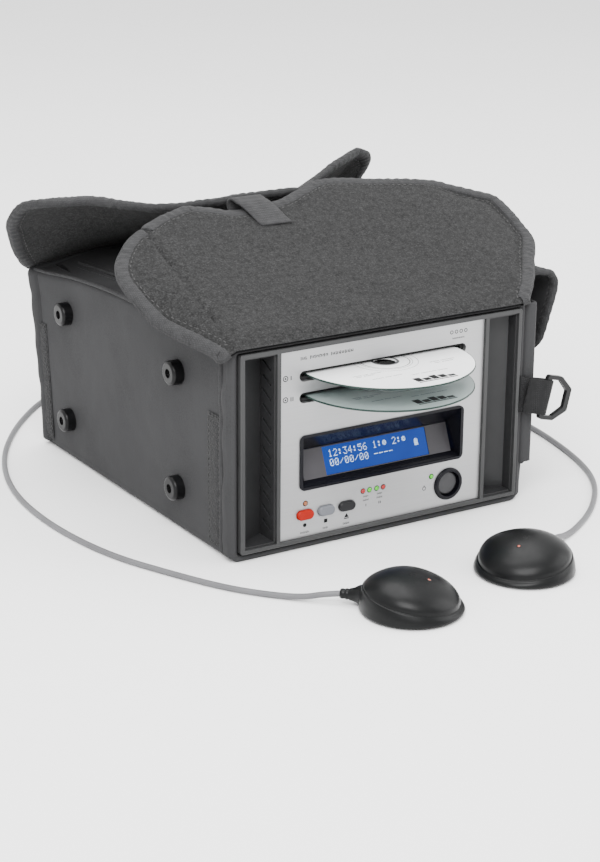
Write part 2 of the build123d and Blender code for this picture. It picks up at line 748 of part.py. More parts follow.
with BuildPart() as main_board:
    block((-98, 98), (FRONT + 150, FRONT + 262), (14, 15.6))
    block((-60, -30), (FRONT + 165, FRONT + 195), (15.6, 18))
    block((0, 24), (FRONT + 170, FRONT + 194), (15.6, 17.6))
    block((40, 84), (FRONT + 158, FRONT + 172), (15.6, 24))
    with BuildSketch(Plane.XY.offset(15.6)):
        with Locations(*[(x, FRONT + 240) for x in (-80, -62, -20, 20)]):
            Circle(5)
    extrude(amount=14)
    with BuildSketch(Plane.XY.offset(8.5)):
        with Locations(*[(x, FRONT + y) for x in (-92, 92) for y in (156, 256)]):
            Circle(3)
    extrude(amount=5.5)
write(main_board, "main_board")

with BuildPart() as battery_pack:
    block((MID_X - 58, MID_X + 58), (FRONT + 30, FRONT + 128), (8.6, 46))
    fillet(battery_pack.edges().filter_by(Axis.Z), 4)
write(battery_pack, "battery_pack")


def jack(x, z, bore, depth):
    """A panel jack: round body behind the panel, threaded nose and nut outside it."""
    with BuildPart() as one:
        with BuildSketch(facing(REAR_Y + 4.5)):
            with Locations((x, z)):
                Circle(5.0)
        extrude(amount=7)
        with BuildSketch(facing(REAR_Y - GAP)):
            with Locations((x, z)):
                Circle(7.5)
        extrude(amount=16)
        with BuildSketch(facing(REAR_Y + 4.0)):
            with Locations((x, z)):
                RegularPolygon(7.2, 6)
        extrude(amount=2.3)
        with BuildSketch(facing(REAR_Y + 6)):
            with Locations((x, z)):
                Circle(bore / 2)
        extrude(amount=depth + 1.5, mode=Mode.SUBTRACT)
    return one.part


MIC_PIN_DIA = 3.5
MONITOR_BORE = 6.5
with BuildPart() as audio_sockets:
    for socket_x in (-SOCKET_X, SOCKET_X):
        add(jack(socket_x, SOCKET_Z, MIC_PIN_DIA + 0.3, 16))
    add(jack(MONITOR_AT[0], MONITOR_AT[1], MONITOR_BORE, 18))
write(audio_sockets, "audio_sockets")

with BuildPart() as dc_inlet:
    with BuildSketch(facing(REAR_Y + 3.5)):
        with Locations(DC_AT):
            Circle(5.4)
            Circle(3.0, mode=Mode.SUBTRACT)
    extrude(amount=12)
    with BuildSketch(facing(REAR_Y + 2.8)):
        with Locations(DC_AT):
            Circle(1.0)
    extrude(amount=11.3)
    with BuildSketch(facing(REAR_Y - 8.0)):
        with Locations(DC_AT):
            Circle(5.4)
    extrude(amount=2)
    with BuildSketch(facing(REAR_Y + 3.5)):
        with Locations(DC_AT):
            Circle(7.5)
            Circle(3.0, mode=Mode.SUBTRACT)
    extrude(amount=1.8)
write(dc_inlet, "dc_inlet")

# ======== Table microphones, their leads and plugs ========

MICS = {"left": ((-58.0, FRONT - 119.0), 137.0), "right": ((40.5, FRONT - 105.5), 28.0)}
RELIEF_TIP = 44.0
MIC_RIM_TILT = math.radians(-12)
MIC_LED_AT = (-10.0, -8.0)
LEAD_EXIT_Z = 7.0
PLUG_END = BACK + 20.0
COIL_AT = {"left": (-32.3, BACK + 76.5), "right": (32.3, BACK + 76.5)}
COIL_OUTER = 31.0
COIL_INNER = 14.0
COIL_HEIGHT = 2 * LEAD_DIA + 0.2


def along(side, distance, z):
    """A point at a distance from a microphone's middle, towards its lead."""
    (x, y), heading = MICS[side]
    a = math.radians(heading)
    return (x + distance * math.cos(a), y + distance * math.sin(a), z)


def mic_plane(side):
    """A level plane at the microphone's middle, with local x towards its lead."""
    (x, y), heading = MICS[side]
    a = math.radians(heading)
    return Plane(origin=(x, y, 0), x_dir=(math.cos(a), math.sin(a), 0), z_dir=(0, 0, 1))


def heading_plane(side, distance):
    """A plane across the microphone's lead, facing away from the microphone."""
    a = math.radians(MICS[side][1])
    return Plane(origin=along(side, distance, LEAD_EXIT_Z), z_dir=(math.cos(a), math.sin(a), 0))


def mic_base(side):
    """Weighted base plate with a chamfered rim."""
    with BuildPart() as base:
        with BuildSketch(Plane.XY):
            with Locations(MICS[side][0]):
                Circle(MIC_RADIUS - 2.5)
        extrude(amount=2.4)
        chamfer(base.faces().sort_by(Axis.Z)[0].edges(), 0.6)
    return base


def mic_shell(side):
    """Low dome that rises out of a skirt, whose rim climbs towards the lead; hollow below."""
    (x, y), heading = MICS[side]
    rim = Plane(origin=(0, 0, 9.5), z_dir=(math.sin(MIC_RIM_TILT), 0, math.cos(MIC_RIM_TILT)))
    with BuildPart() as skirt:
        with BuildSketch(Plane.XY.offset(2.6)):
            Circle(MIC_RADIUS)
        extrude(amount=14, taper=24)
        with BuildSketch(rim):
            Rectangle(90, 90)
        extrude(amount=30, mode=Mode.SUBTRACT)
    with BuildPart() as shell:
        with BuildSketch(Plane.XZ):
            with BuildLine():
                Polyline((0.5, MIC_HEIGHT), (0.5, 2.6), (MIC_RADIUS - 1, 2.6), (MIC_RADIUS - 2.8, 7))
                ThreePointArc(
                    (MIC_RADIUS - 2.8, 7),
                    (MIC_RADIUS - 11.5, MIC_HEIGHT - 5.0),
                    (0.5, MIC_HEIGHT),
                )
            make_face()
        revolve(axis=Axis.Z)
        with BuildSketch(Plane.XY.offset(2.6)):
            Circle(0.5)
        extrude(amount=MIC_HEIGHT - 2.6)
        add(skirt.part)
        with BuildSketch(Plane.XY.offset(2.6)):
            Circle(MIC_RADIUS - 4.5)
        extrude(amount=8, taper=20, mode=Mode.SUBTRACT)
        with BuildSketch(Plane.XY.offset(10.6)):
            Circle(MIC_RADIUS - 15)
        extrude(amount=9, taper=20, mode=Mode.SUBTRACT)
        with BuildSketch(Plane.XY.offset(15)):
            with GridLocations(3.4, 3.4, 2, 2):
                Circle(0.6)
            with Locations(MIC_LED_AT):
                Circle(1.1)
        extrude(amount=20, mode=Mode.SUBTRACT)
        with BuildSketch(Plane.YZ.offset(20)):
            with Locations((0, LEAD_EXIT_Z)):
                Circle(3.9)
        extrude(amount=24, mode=Mode.SUBTRACT)
    return Location((x, y, 0), (0, 0, heading)) * shell.part


def mic_relief(side):
    """Tapered sleeve between the shell and the lead."""
    with BuildPart() as relief:
        with BuildSketch(heading_plane(side, 27)):
            Circle(3.8)
        extrude(amount=6)
        with BuildSketch(heading_plane(side, 33)):
            Circle(5.0)
        with BuildSketch(heading_plane(side, RELIEF_TIP)):
            Circle(3.0)
        loft()
    return relief.part


for side in MICS:
    write(mic_base(side), f"mic_base_{side}")
    with BuildPart() as mic_body:
        add(mic_shell(side))
    write(mic_body, f"mic_shell_{side}")

with BuildPart() as mic_reliefs:
    for side in MICS:
        add(mic_relief(side))
write(mic_reliefs, "mic_reliefs")

with BuildPart() as mic_capsules:
    for side in MICS:
        with BuildSketch(Plane.XY.offset(2.5)):
            with Locations(MICS[side][0]):
                Circle(9)
        extrude(amount=12)
write(mic_capsules, "mic_capsules")

with BuildPart() as mic_leds:
    for side in MICS:
        with BuildSketch(mic_plane(side).offset(18.5)):
            with Locations(MIC_LED_AT):
                Circle(0.9)
        extrude(amount=4)
write(mic_leds, "mic_leds")

for side, sign in (("left", -1), ("right", 1)):
    with BuildPart() as mic_plug:
        with BuildSketch(facing(REAR_Y + 4.6)):
            with Locations((sign * SOCKET_X, SOCKET_Z)):
                Circle(4.6)
        extrude(amount=-22)
        fillet(mic_plug.edges().group_by(Axis.Y)[-1], 1.2)
        with BuildSketch(facing(REAR_Y + 26)):
            with Locations((sign * SOCKET_X, SOCKET_Z)):
                Circle(3.2)
        extrude(amount=-(PLUG_END - REAR_Y - 26), taper=4)
        with BuildSketch(facing(REAR_Y + 5)):
            with Locations((sign * SOCKET_X, SOCKET_Z)):
                Circle(MIC_PIN_DIA / 2)
        extrude(amount=14)
    write(mic_plug, f"mic_plug_{side}")

    with BuildPart() as mic_coil:
        with BuildSketch(Plane.XY):
            with Locations(COIL_AT[side]):
                Circle(COIL_OUTER)
                Circle(COIL_INNER, mode=Mode.SUBTRACT)
        extrude(amount=COIL_HEIGHT)
    write(mic_coil, f"mic_coil_{side}")

# Each lead lies in two stretches: plug to coil, and coil to microphone.
LIE = LEAD_DIA / 2 + 0.1
LEAD_ROUTES = {
    "left": (
        [
            (-40, PLUG_END, SOCKET_Z),
            (-40, BACK + 30, 58.5),
            (-40, BACK + 39, 50.5),
            (-40, BACK + 43, 38.5),
            (-39, BACK + 43.5, 26),
            (-36, BACK + 43.5, 14.5),
            (-28.5, BACK + 45, 7.8),
            (-17.5, BACK + 51.5, 6.1),
        ],
        [
            (-37.3, BACK + 105, LIE),
            (-51, BACK + 102.4, LIE),
            (-67, BACK + 94, LIE),
            (-84, BACK + 80, LIE),
            (-101, BACK + 63, LIE),
            (-127, BACK + 32, LIE),
            (-155, BACK - 11, LIE),
            (-175, BACK - 56, LIE),
            (-187, BACK - 103, LIE),
            (-190.5, BACK - 153, LIE),
            (-187, BACK - 200, LIE),
            (-178, BACK - 242, LIE),
            (-162, BACK - 280, LIE),
            (-143, BACK - 320, LIE),
            (-124, BACK - 345, LIE),
            (-109, BACK - 361, 3.0),
            (-99, BACK - 369.5, 6.2),
            along("left", RELIEF_TIP, LEAD_EXIT_Z),
        ],
    ),
    "right": (
        [
            (40, PLUG_END, SOCKET_Z),
            (40, BACK + 30, 58.5),
            (40, BACK + 39, 50.5),
            (40, BACK + 43, 38.5),
            (39, BACK + 43.5, 26),
            (36, BACK + 43.5, 14.5),
            (28.5, BACK + 45, 7.8),
            (17.5, BACK + 51.5, 6.1),
        ],
        [
            (37.3, BACK + 105, LIE),
            (51, BACK + 103, LIE),
            (69, BACK + 97, LIE),
            (91, BACK + 84, LIE),
            (115, BACK + 65, LIE),
            (143, BACK + 38, LIE),
            (175, BACK - 2, LIE),
            (201, BACK - 43, LIE),
            (217, BACK - 85, LIE),
            (223, BACK - 130, LIE),
            (221, BACK - 172, LIE),
            (213, BACK - 213, LIE),
            (203, BACK - 249, LIE),
            (191, BACK - 278, LIE),
            (172, BACK - 306, LIE),
            (143, BACK - 335, LIE),
            (112, BACK - 356, LIE),
            (97, BACK - 363.5, 3.2),
            (88, BACK - 368, 6.2),
            along("right", RELIEF_TIP, LEAD_EXIT_Z),
        ],
    ),
}


def bend_radii(points):
    """The largest arc that each corner's two runs leave room for."""
    spots = [Vector(*p) for p in points]
    runs = [b - a for a, b in zip(spots, spots[1:])]
    radii = []
    for before, after in zip(runs, runs[1:]):
        turn = math.radians(before.get_angle(after))
        radii.append(0.45 * min(before.length, after.length) / math.tan(turn / 2))
    return radii


for side, stretches in LEAD_ROUTES.items():
    with BuildPart() as mic_lead:
        for points in stretches:
            radii = bend_radii(points)
            print(f"{side} lead arcs, mm:", [round(r) for r in radii])
            with BuildLine() as route:
                FilletPolyline(*points, radius=radii)
            with BuildSketch(Plane(origin=route.line @ 0, z_dir=route.line % 0)):
                Circle(LEAD_DIA / 2)
            sweep(path=route.line)
            print(f"{side} lead stretch, mm:", round(route.wire().length))
    write(mic_lead, f"mic_lead_{side}")
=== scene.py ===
import math

import bmesh
import bpy
from mathutils import Matrix, Vector, noise


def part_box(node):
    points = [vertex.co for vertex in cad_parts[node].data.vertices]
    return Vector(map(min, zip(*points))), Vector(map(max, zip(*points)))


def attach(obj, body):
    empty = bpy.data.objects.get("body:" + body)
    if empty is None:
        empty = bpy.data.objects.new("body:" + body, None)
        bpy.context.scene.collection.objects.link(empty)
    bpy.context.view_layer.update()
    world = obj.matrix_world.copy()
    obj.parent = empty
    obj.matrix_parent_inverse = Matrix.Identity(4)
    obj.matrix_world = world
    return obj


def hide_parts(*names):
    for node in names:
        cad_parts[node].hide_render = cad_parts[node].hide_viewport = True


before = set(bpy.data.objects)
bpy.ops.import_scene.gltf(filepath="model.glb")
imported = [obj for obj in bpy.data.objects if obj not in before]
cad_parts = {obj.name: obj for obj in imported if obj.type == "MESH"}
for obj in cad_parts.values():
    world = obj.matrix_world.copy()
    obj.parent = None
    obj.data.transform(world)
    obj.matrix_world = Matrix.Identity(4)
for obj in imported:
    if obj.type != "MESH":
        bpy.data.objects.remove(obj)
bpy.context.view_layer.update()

# ---- Scale and the places that the frame gives, in metres ----
MM = 0.001
ROOT = "recorder_and_case"
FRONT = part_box("front_panel")[0][1]
CASE_LOW, CASE_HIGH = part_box("case_shell")
LONG, HALF_WIDE, TALL = 287, 117, 146  # the case, in millimetres
BACK = FRONT + LONG * MM
HINGE_Z = CASE_HIGH[2] + 1 * MM
UP = Vector((0, 0, 1))
RIGHT = Vector((1, 0, 0))


def at(x, y, z):
    """A point from millimetres: right of the middle, behind the panel's face, above the table."""
    return Vector((x * MM, FRONT + y * MM, z * MM))


def smooth_step(value, low, high):
    """0 below low, 1 above high, and an S-curve between them."""
    t = min(1.0, max(0.0, (value - low) / (high - low)))
    return t * t * (3 - 2 * t)


# ======== Materials ========


class Shader:
    """A node tree that starts with a Principled shader and grows by short calls."""

    def __init__(self, name, color, rough, metal=0.0):
        self.material = bpy.data.materials.new(name)
        self.material.use_nodes = True
        self.nodes = self.material.node_tree.nodes
        self.links = self.material.node_tree.links
        self.main = self.nodes["Principled BSDF"]
        self.set("Base Color", (*color, 1))
        self.set("Roughness", rough)
        self.set("Metallic", metal)
        self.color = color
        self.place = self.nodes.new("ShaderNodeTexCoord").outputs["Object"]

    def set(self, socket, value):
        self.main.inputs[socket].default_value = value

    def scaled(self, x, y, z):
        """The object's own coordinates, in metres, times a scale on each axis."""
        node = self.nodes.new("ShaderNodeMapping")
        node.inputs["Scale"].default_value = (x, y, z)
        self.links.new(self.place, node.inputs["Vector"])
        return node.outputs["Vector"]

    def noise(self, size, detail=3.0, place=None):
        """Noise whose lumps are about that many metres across."""
        node = self.nodes.new("ShaderNodeTexNoise")
        node.inputs["Scale"].default_value = 1 / size
        node.inputs["Detail"].default_value = detail
        self.links.new(place or self.place, node.inputs["Vector"])
        return node.outputs["Fac"]

    def ribs(self, size, axis):
        """Parallel threads, one every size metres, across an axis."""
        node = self.nodes.new("ShaderNodeTexWave")
        node.bands_direction = axis
        node.inputs["Scale"].default_value = 0.314 / size
        node.inputs["Distortion"].default_value = 0.6
        node.inputs["Detail"].default_value = 1.0
        self.links.new(self.place, node.inputs["Vector"])
        return node.outputs["Fac"]

    def weave(self, size):
        """Threads over and under each other on three axes, so that every face shows two."""
        x, y, z = (self.ribs(size, axis) for axis in "XYZ")
        return self.math("MULTIPLY", self.math("MULTIPLY", x, y), z)

    def cells(self, size):
        """Distance to the middle of the nearest of many small cells."""
        node = self.nodes.new("ShaderNodeTexVoronoi")
        node.inputs["Scale"].default_value = 1 / size
        self.links.new(self.place, node.inputs["Vector"])
        return node.outputs["Distance"]

    def math(self, operation, a, b):
        """One sum on two factors or numbers."""
        node = self.nodes.new("ShaderNodeMath")
        node.operation = operation
        for socket, value in zip(node.inputs, (a, b)):
            if isinstance(value, (int, float)):
                socket.default_value = value
            else:
                self.links.new(value, socket)
        return node.outputs[0]

    def ramp(self, factor, low, high, color_low, color_high):
        """Blends two colours as the factor goes from low to high."""
        node = self.nodes.new("ShaderNodeValToRGB")
        node.color_ramp.elements[0].position = low
        node.color_ramp.elements[1].position = high
        node.color_ramp.elements[0].color = (*color_low, 1)
        node.color_ramp.elements[1].color = (*color_high, 1)
        self.links.new(factor, node.inputs["Fac"])
        return node.outputs["Color"]

    def vary(self, factor, low, high, amount):
        """Makes the base colour darker and lighter by an amount, following a factor."""
        dark = [c * (1 - amount) for c in self.color]
        light = [min(1, c * (1 + amount)) for c in self.color]
        self.links.new(self.ramp(factor, low, high, dark, light), self.main.inputs["Base Color"])

    def roughen(self, factor, low, high):
        """Spreads the roughness between two values, following a factor."""
        node = self.nodes.new("ShaderNodeMapRange")
        node.inputs["To Min"].default_value = low
        node.inputs["To Max"].default_value = high
        self.links.new(factor, node.inputs["Value"])
        self.links.new(node.outputs["Result"], self.main.inputs["Roughness"])

    def bump(self, *heights, strength=0.5):
        """Adds bumps, each a factor and its height in metres, one on top of another."""
        normal = None
        for factor, height in heights:
            node = self.nodes.new("ShaderNodeBump")
            node.inputs["Strength"].default_value = strength
            node.inputs["Distance"].default_value = height
            self.links.new(factor, node.inputs["Height"])
            if normal:
                self.links.new(normal, node.inputs["Normal"])
            normal = node.outputs["Normal"]
        self.links.new(normal, self.main.inputs["Normal"])


def nylon(name, color):
    """Tightly woven matt nylon over foam."""
    s = Shader(name, color, 0.7)
    s.set("Specular IOR Level", 0.08)
    s.set("Sheen Weight", 0.02)
    s.set("Sheen Roughness", 0.45)
    s.vary(s.math("ADD", s.noise(0.0009, 4), s.noise(0.05, 3)), 0.7, 1.35, 0.13)
    s.bump((s.noise(0.03, 3), 0.0012), (s.weave(0.0009), 0.00012), strength=0.5)
    return s.material


def brushed_lining(name, color):
    """Napped loop lining: mottled, with pale fibres standing out of it."""
    s = Shader(name, color, 0.95)
    s.set("Specular IOR Level", 0.05)
    s.set("Sheen Weight", 0.03)
    s.set("Sheen Roughness", 0.6)
    mottle = s.math("MULTIPLY", s.noise(0.0035, 6), s.noise(0.0011, 5))
    specks = s.math("POWER", s.noise(0.0012, 2), 7.0)
    s.vary(s.math("ADD", mottle, s.math("MULTIPLY", specks, 5.0)), 0.13, 0.55, 0.55)
    s.bump((mottle, 0.0011), (s.noise(0.0005, 4), 0.0004), strength=0.8)
    return s.material


def tape(name, color, pitch=0.0013):
    """Ribbed webbing or binding tape."""
    s = Shader(name, color, 0.75)
    s.set("Specular IOR Level", 0.1)
    s.set("Sheen Weight", 0.03)
    rows = s.weave(pitch)
    s.vary(s.math("ADD", rows, s.noise(0.004, 4)), 0.35, 0.95, 0.25)
    s.bump((rows, 0.0004), (s.noise(0.0006, 3), 0.0001), strength=0.8)
    return s.material


def hooks(name, color):
    """Hook tape: small tufts close together."""
    s = Shader(name, color, 0.85)
    tufts = s.cells(0.0016)
    s.vary(tufts, 0.1, 0.7, 0.5)
    s.bump((tufts, 0.0009), strength=0.9)
    return s.material


def moulded(name, color, rough, grain=0.0004, shine=0.25):
    """Plastic or rubber with a fine moulded grain."""
    s = Shader(name, color, rough)
    s.set("Specular IOR Level", shine)
    fine = s.noise(grain, 3)
    s.vary(s.noise(0.02, 3), 0.3, 0.7, 0.08)
    s.roughen(s.noise(0.006, 4), rough - 0.08, rough + 0.1)
    s.bump((fine, 0.00004), strength=0.5)
    return s.material


def glossy(name, color, rough):
    """Smooth and nearly black: shiny plastic, and the bare edge of a disc."""
    s = Shader(name, color, rough)
    s.set("Specular IOR Level", 0.14)
    s.roughen(s.noise(0.01, 4), rough, rough + 0.07)
    return s.material


def brushed_metal(name, color, rough=0.34):
    """Metal brushed or sprayed along X, with a faint grain."""
    s = Shader(name, color, rough, 0.85)
    grain = s.noise(1.0, 3, s.scaled(40, 40, 4000))
    s.vary(grain, 0.3, 0.7, 0.05)
    s.roughen(grain, rough - 0.05, rough + 0.08)
    s.bump((grain, 0.00002), (s.noise(0.0003, 2), 0.00001), strength=0.35)
    return s.material


def lamp(name, color, glow):
    """A small lit lens."""
    s = Shader(name, color, 0.25)
    s.set("Coat Weight", 0.5)
    s.set("Emission Color", (*color, 1))
    s.set("Emission Strength", glow)
    s.vary(s.cells(0.0012), 0.0, 0.6, 0.25)
    return s.material


def printed(name, color):
    """Thin ink on a panel or a disc."""
    s = Shader(name, color, 0.5)
    s.set("Specular IOR Level", 0.1)
    s.vary(s.noise(0.0008, 2), 0.3, 0.7, 0.1)
    return s.material


def disc_face(name, color):
    """Printable lacquer: white, faintly mottled, with a thin gloss."""
    s = Shader(name, color, 0.28)
    s.set("Coat Weight", 0.35)
    s.vary(s.noise(0.02, 3), 0.3, 0.7, 0.03)
    s.bump((s.noise(0.0004, 2), 0.00001), strength=0.3)
    return s.material


def screen(name):
    """Lit blue glass of the display, a little uneven."""
    s = Shader(name, (0.0005, 0.004, 0.03), 0.3)
    s.set("Specular IOR Level", 0.15)
    shade = s.noise(0.03, 2)
    glow = s.ramp(shade, 0.3, 0.75, (0.0, 0.045, 0.36), (0.0, 0.07, 0.47))
    s.links.new(glow, s.main.inputs["Emission Color"])
    s.set("Emission Strength", 0.9)
    return s.material


def board(name):
    """Green circuit board with patches of parts."""
    s = Shader(name, (0.02, 0.14, 0.05), 0.4)
    s.vary(s.cells(0.003), 0.0, 0.5, 0.35)
    s.bump((s.cells(0.003), 0.0001), strength=0.4)
    return s.material


MATERIALS = {
    "nylon": nylon("case_nylon", (0.027, 0.027, 0.028)),
    # The pocket flap's underside lining, darkened nearly to black: painted shade under the drooping flap.
    "nylon_painted_shade": nylon("pocket_lining_painted_shade", (0.004, 0.004, 0.0042)),
    "lining": brushed_lining("flap_lining", (0.021, 0.021, 0.0212)),
    "binding": tape("edge_binding", (0.030, 0.030, 0.031), 0.0011),
    "webbing": tape("webbing", (0.032, 0.032, 0.033)),
    "ring_web": tape("ring_webbing", (0.012, 0.012, 0.0125), 0.0016),
    "thread": tape("thread", (0.052, 0.052, 0.052), 0.0005),
    "hooks": hooks("hook_tape", (0.0065, 0.0065, 0.007)),
    "rubber": moulded("foot_rubber", (0.003, 0.003, 0.0033), 0.34, 0.0004, 0.18),
    "steel": brushed_metal("plated_steel", (0.5, 0.5, 0.5)),
    "frame": moulded("frame_grey", (0.028, 0.0283, 0.0288), 0.36),
    "grip": moulded("grip_grey", (0.020, 0.0202, 0.021), 0.45),
    "panel": brushed_metal("panel_silver", (0.37, 0.37, 0.375), 0.42),
    "chassis": moulded("chassis_black", (0.02, 0.02, 0.021), 0.5),
    "gloss": glossy("gloss_black", (0.004, 0.004, 0.006), 0.22),
    "face": moulded("display_face", (0.036, 0.034, 0.038), 0.42),
    "screen": screen("display_glass"),
    "pixels": lamp("display_marks", (0.50, 0.68, 0.95), 0.9),
    "slot": moulded("slot_felt", (0.012, 0.012, 0.012), 0.8),
    "disc": disc_face("disc_lacquer", (0.88, 0.89, 0.89)),
    # The lower disc is the same white lacquer, darkened to grey-green: painted shade.
    "disc_painted_shade": disc_face("disc_lacquer_painted_shade", (0.22, 0.27, 0.262)),
    "disc_rim": glossy("disc_edge", (0.02, 0.035, 0.03), 0.15),
    "ink": printed("panel_ink", (0.004, 0.004, 0.0042)),
    "grey_ink": printed("disc_ink", (0.07, 0.072, 0.074)),
    "red_key": moulded("record_red", (0.25, 0.006, 0.001), 0.4, 0.0004, 0.15),
    "grey_key": moulded("stop_grey", (0.12, 0.125, 0.14), 0.35),
    "black_key": moulded("key_black", (0.006, 0.006, 0.007), 0.32),
    "power_key": moulded("power_grey", (0.020, 0.020, 0.022), 0.3, 0.0004, 0.4),
    "amber": lamp("lamp_amber", (0.18, 0.05, 0.01), 0.05),
    "red": lamp("lamp_red", (0.24, 0.0, 0.0), 0.04),
    "green": lamp("lamp_green", (0.03, 0.30, 0.0), 0.4),
    "mic_lamp": lamp("mic_lamp", (0.30, 0.06, 0.03), 0.3),
    "board": board("circuit_board"),
    "battery": moulded("battery_wrap", (0.02, 0.04, 0.15), 0.35),
    "microphone": moulded("microphone_black", (0.0022, 0.0024, 0.0026), 0.34, 0.0008, 0.17),
    "lead": moulded("lead_grey", (0.115, 0.115, 0.12), 0.42),
    "d_ring": moulded("ring_plastic", (0.010, 0.0101, 0.0105), 0.3, 0.0004, 0.2),
}


# The material of every CAD node that no piece replaces.
DRESSED = {
    "rubber": "side_feet load_roller_a load_roller_b",
    "steel": "foot_screws chassis_screws turntable_a turntable_b drive_housing_a drive_housing_b"
    " mic_capsules",
    "frame": "front_frame",
    "grip": "grip_liner_left grip_liner_right",
    "panel": "front_panel",
    "chassis": "chassis_tray chassis_cover rear_panel drive_bracket",
    "gloss": "display_bezel power_bezel",
    "face": "display_plate",
    "screen": "lcd_module",
    "slot": "dust_lips",
    "disc": "disc_a",
    # disc_b, the lower disc, takes the lacquer with painted shade.
    "disc_painted_shade": "disc_b",
    "red_key": "record_button",
    "grey_key": "stop_button",
    "black_key": "eject_button audio_sockets dc_inlet mic_plug_left mic_plug_right",
    "power_key": "power_button",
    "amber": "record_led",
    "red": "level_leds_red",
    "green": "level_leds_green power_led",
    "board": "key_board main_board",
    "battery": "battery_pack",
    "microphone": "mic_base_left mic_base_right",
    "d_ring": "d_ring_front d_ring_rear",
}
for material, nodes in DRESSED.items():
    for node in nodes.split():
        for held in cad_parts[node].material_slots:
            held.material = MATERIALS[material]


# ======== Mesh helpers ========


def placed(name, data, material, body):
    """Puts a mesh or a curve in the scene, riding on a body."""
    data.materials.append(MATERIALS[material])
    obj = bpy.data.objects.new(name, data)
    bpy.context.scene.collection.objects.link(obj)
    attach(obj, body)
    return obj


def piece(name, points, faces, material, body=ROOT):
    """A smooth mesh that rides on a body."""
    mesh = bpy.data.meshes.new(name)
    mesh.from_pydata([tuple(p) for p in points], [], faces)
    mesh.validate()
    tidy = bmesh.new()
    tidy.from_mesh(mesh)
    bmesh.ops.remove_doubles(tidy, verts=tidy.verts, dist=1e-6)
    bmesh.ops.recalc_face_normals(tidy, faces=tidy.faces)
    tidy.to_mesh(mesh)
    tidy.free()
    mesh.polygons.foreach_set("use_smooth", [True] * len(mesh.polygons))
    return placed(name, mesh, material, body)


def lattice(rows, cols, close_rows=False, close_cols=False):
    """Quads between rows of points that are listed one row after another."""
    faces = []
    for i in range(rows if close_rows else rows - 1):
        for j in range(cols if close_cols else cols - 1):
            a, b = i * cols + j, i * cols + (j + 1) % cols
            c, d = ((i + 1) % rows) * cols + (j + 1) % cols, ((i + 1) % rows) * cols + j
            faces.append((a, b, c, d))
    return faces


def swept(name, path, section, material, body):
    """Sweeps a section along frames of (point, outward, normal, distance).

    The section is a function of the distance that gives (outward, normal) offsets.
    """
    points = []
    for spot, out, normal, distance in path:
        for u, v in section(distance):
            points.append(spot + out * u + normal * v)
    cols = len(points) // len(path)
    return piece(name, points, lattice(len(path), cols, False, True), material, body)


def stitches(name, path, rise=0.0, body=ROOT, pitch=4.2 * MM, long=2.6 * MM):
    """A row of short thread stitches along frames, raised a little from the path."""
    points, faces = [], []
    walked = 0.0
    for (a, _, up_a, _), (b, _, _, _) in zip(path, path[1:]):
        walked += (b - a).length
        if walked < pitch or (b - a).length < 1e-7:
            continue
        walked = 0.0
        along = (b - a).normalized()
        across = along.cross(up_a).normalized()
        middle = a + up_a * rise
        first = len(points)
        for t, fat in ((-0.5, 0.15), (-0.3, 0.8), (0.0, 1.0), (0.3, 0.8), (0.5, 0.15)):
            for k in range(5):
                turn = 2 * math.pi * k / 5
                side = across * math.cos(turn) * 0.45 * MM + up_a * math.sin(turn) * 0.4 * MM
                points.append(middle + along * (t * long) + side * fat)
        faces += [tuple(first + i for i in quad) for quad in lattice(5, 5, False, True)]
    return piece(name, points, faces, "thread", body)


def curve_through(corners, count, closed=True):
    """Evenly spread points on a smooth Catmull-Rom curve through the corners."""
    spots = [Vector(c) for c in corners]
    total = len(spots)
    fine = []
    for i in range(total if closed else total - 1):
        if closed:
            p0, p1, p2, p3 = (spots[(i + k - 1) % total] for k in range(4))
        else:
            p0, p1, p2, p3 = (spots[min(total - 1, max(0, i + k - 1))] for k in range(4))
        for step in range(24):
            t = step / 24
            bend = (2 * p0 - 5 * p1 + 4 * p2 - p3) * t * t
            fine.append(0.5 * (2 * p1 + (p2 - p0) * t + bend + (3 * p1 - p0 - 3 * p2 + p3) * t * t * t))
    fine.append(spots[0] if closed else spots[-1])
    lengths = [0.0]
    for a, b in zip(fine, fine[1:]):
        lengths.append(lengths[-1] + (b - a).length)
    even, k = [], 0
    for i in range(count):
        want = lengths[-1] * i / (count if closed else count - 1)
        while k < len(fine) - 2 and lengths[k + 1] < want:
            k += 1
        share = (want - lengths[k]) / max(1e-9, lengths[k + 1] - lengths[k])
        even.append(fine[k].lerp(fine[k + 1], min(1.0, share)))
    return even


def rounded_loop(half_x, half_y, radius, step):
    """Points and outward normals round a rounded rectangle, in its own plane."""
    loop = []
    corners = ((1, 1, 0), (-1, 1, 90), (-1, -1, 180), (1, -1, 270))

    def on_corner(k, turned):
        """A point of a corner's arc, and the way out there."""
        sx, sy, start = corners[k % 4]
        a = math.radians(start + turned)
        spot = (sx * (half_x - radius) + radius * math.cos(a), sy * (half_y - radius) + radius * math.sin(a))
        return Vector(spot), Vector((math.cos(a), math.sin(a)))

    for k in range(4):
        loop += [on_corner(k, 90 * i / 8) for i in range(9)]
        run = 2 * ((half_x if k in (0, 2) else half_y) - radius)
        first = loop[-1][0]
        end, out = on_corner(k + 1, 0)
        parts = max(2, int(run / step))
        loop += [(first.lerp(end, i / parts), out) for i in range(1, parts)]
    return loop


# ======== Padded case ========

WALL = 4.6 * MM


def wobble(point, size, height, seed=0.0):
    """Smooth noise at a point: lumps of a size, up to a height."""
    return height * noise.noise((point + Vector((seed, seed, seed))) / size)


def fullness(y):
    """0 at the case's open ends and 1 half way along it."""
    return max(0.0, math.sin(math.pi * min(1.0, max(0.0, y / LONG)))) ** 0.6


def side_swell(y, z):
    """How far a side wall bulges at a place, from millimetres behind the panel and above the table."""
    return 1.6 * fullness(y) * max(0.0, 1 - (abs(z - TALL / 2) / (TALL / 2)) ** 4)


def rear_lean(y, z):
    """How far the left wall leans out towards its upper rear corner."""
    return 8.5 * smooth_step(y, 225, 290) * (max(0.0, z) / TALL) ** 1.6


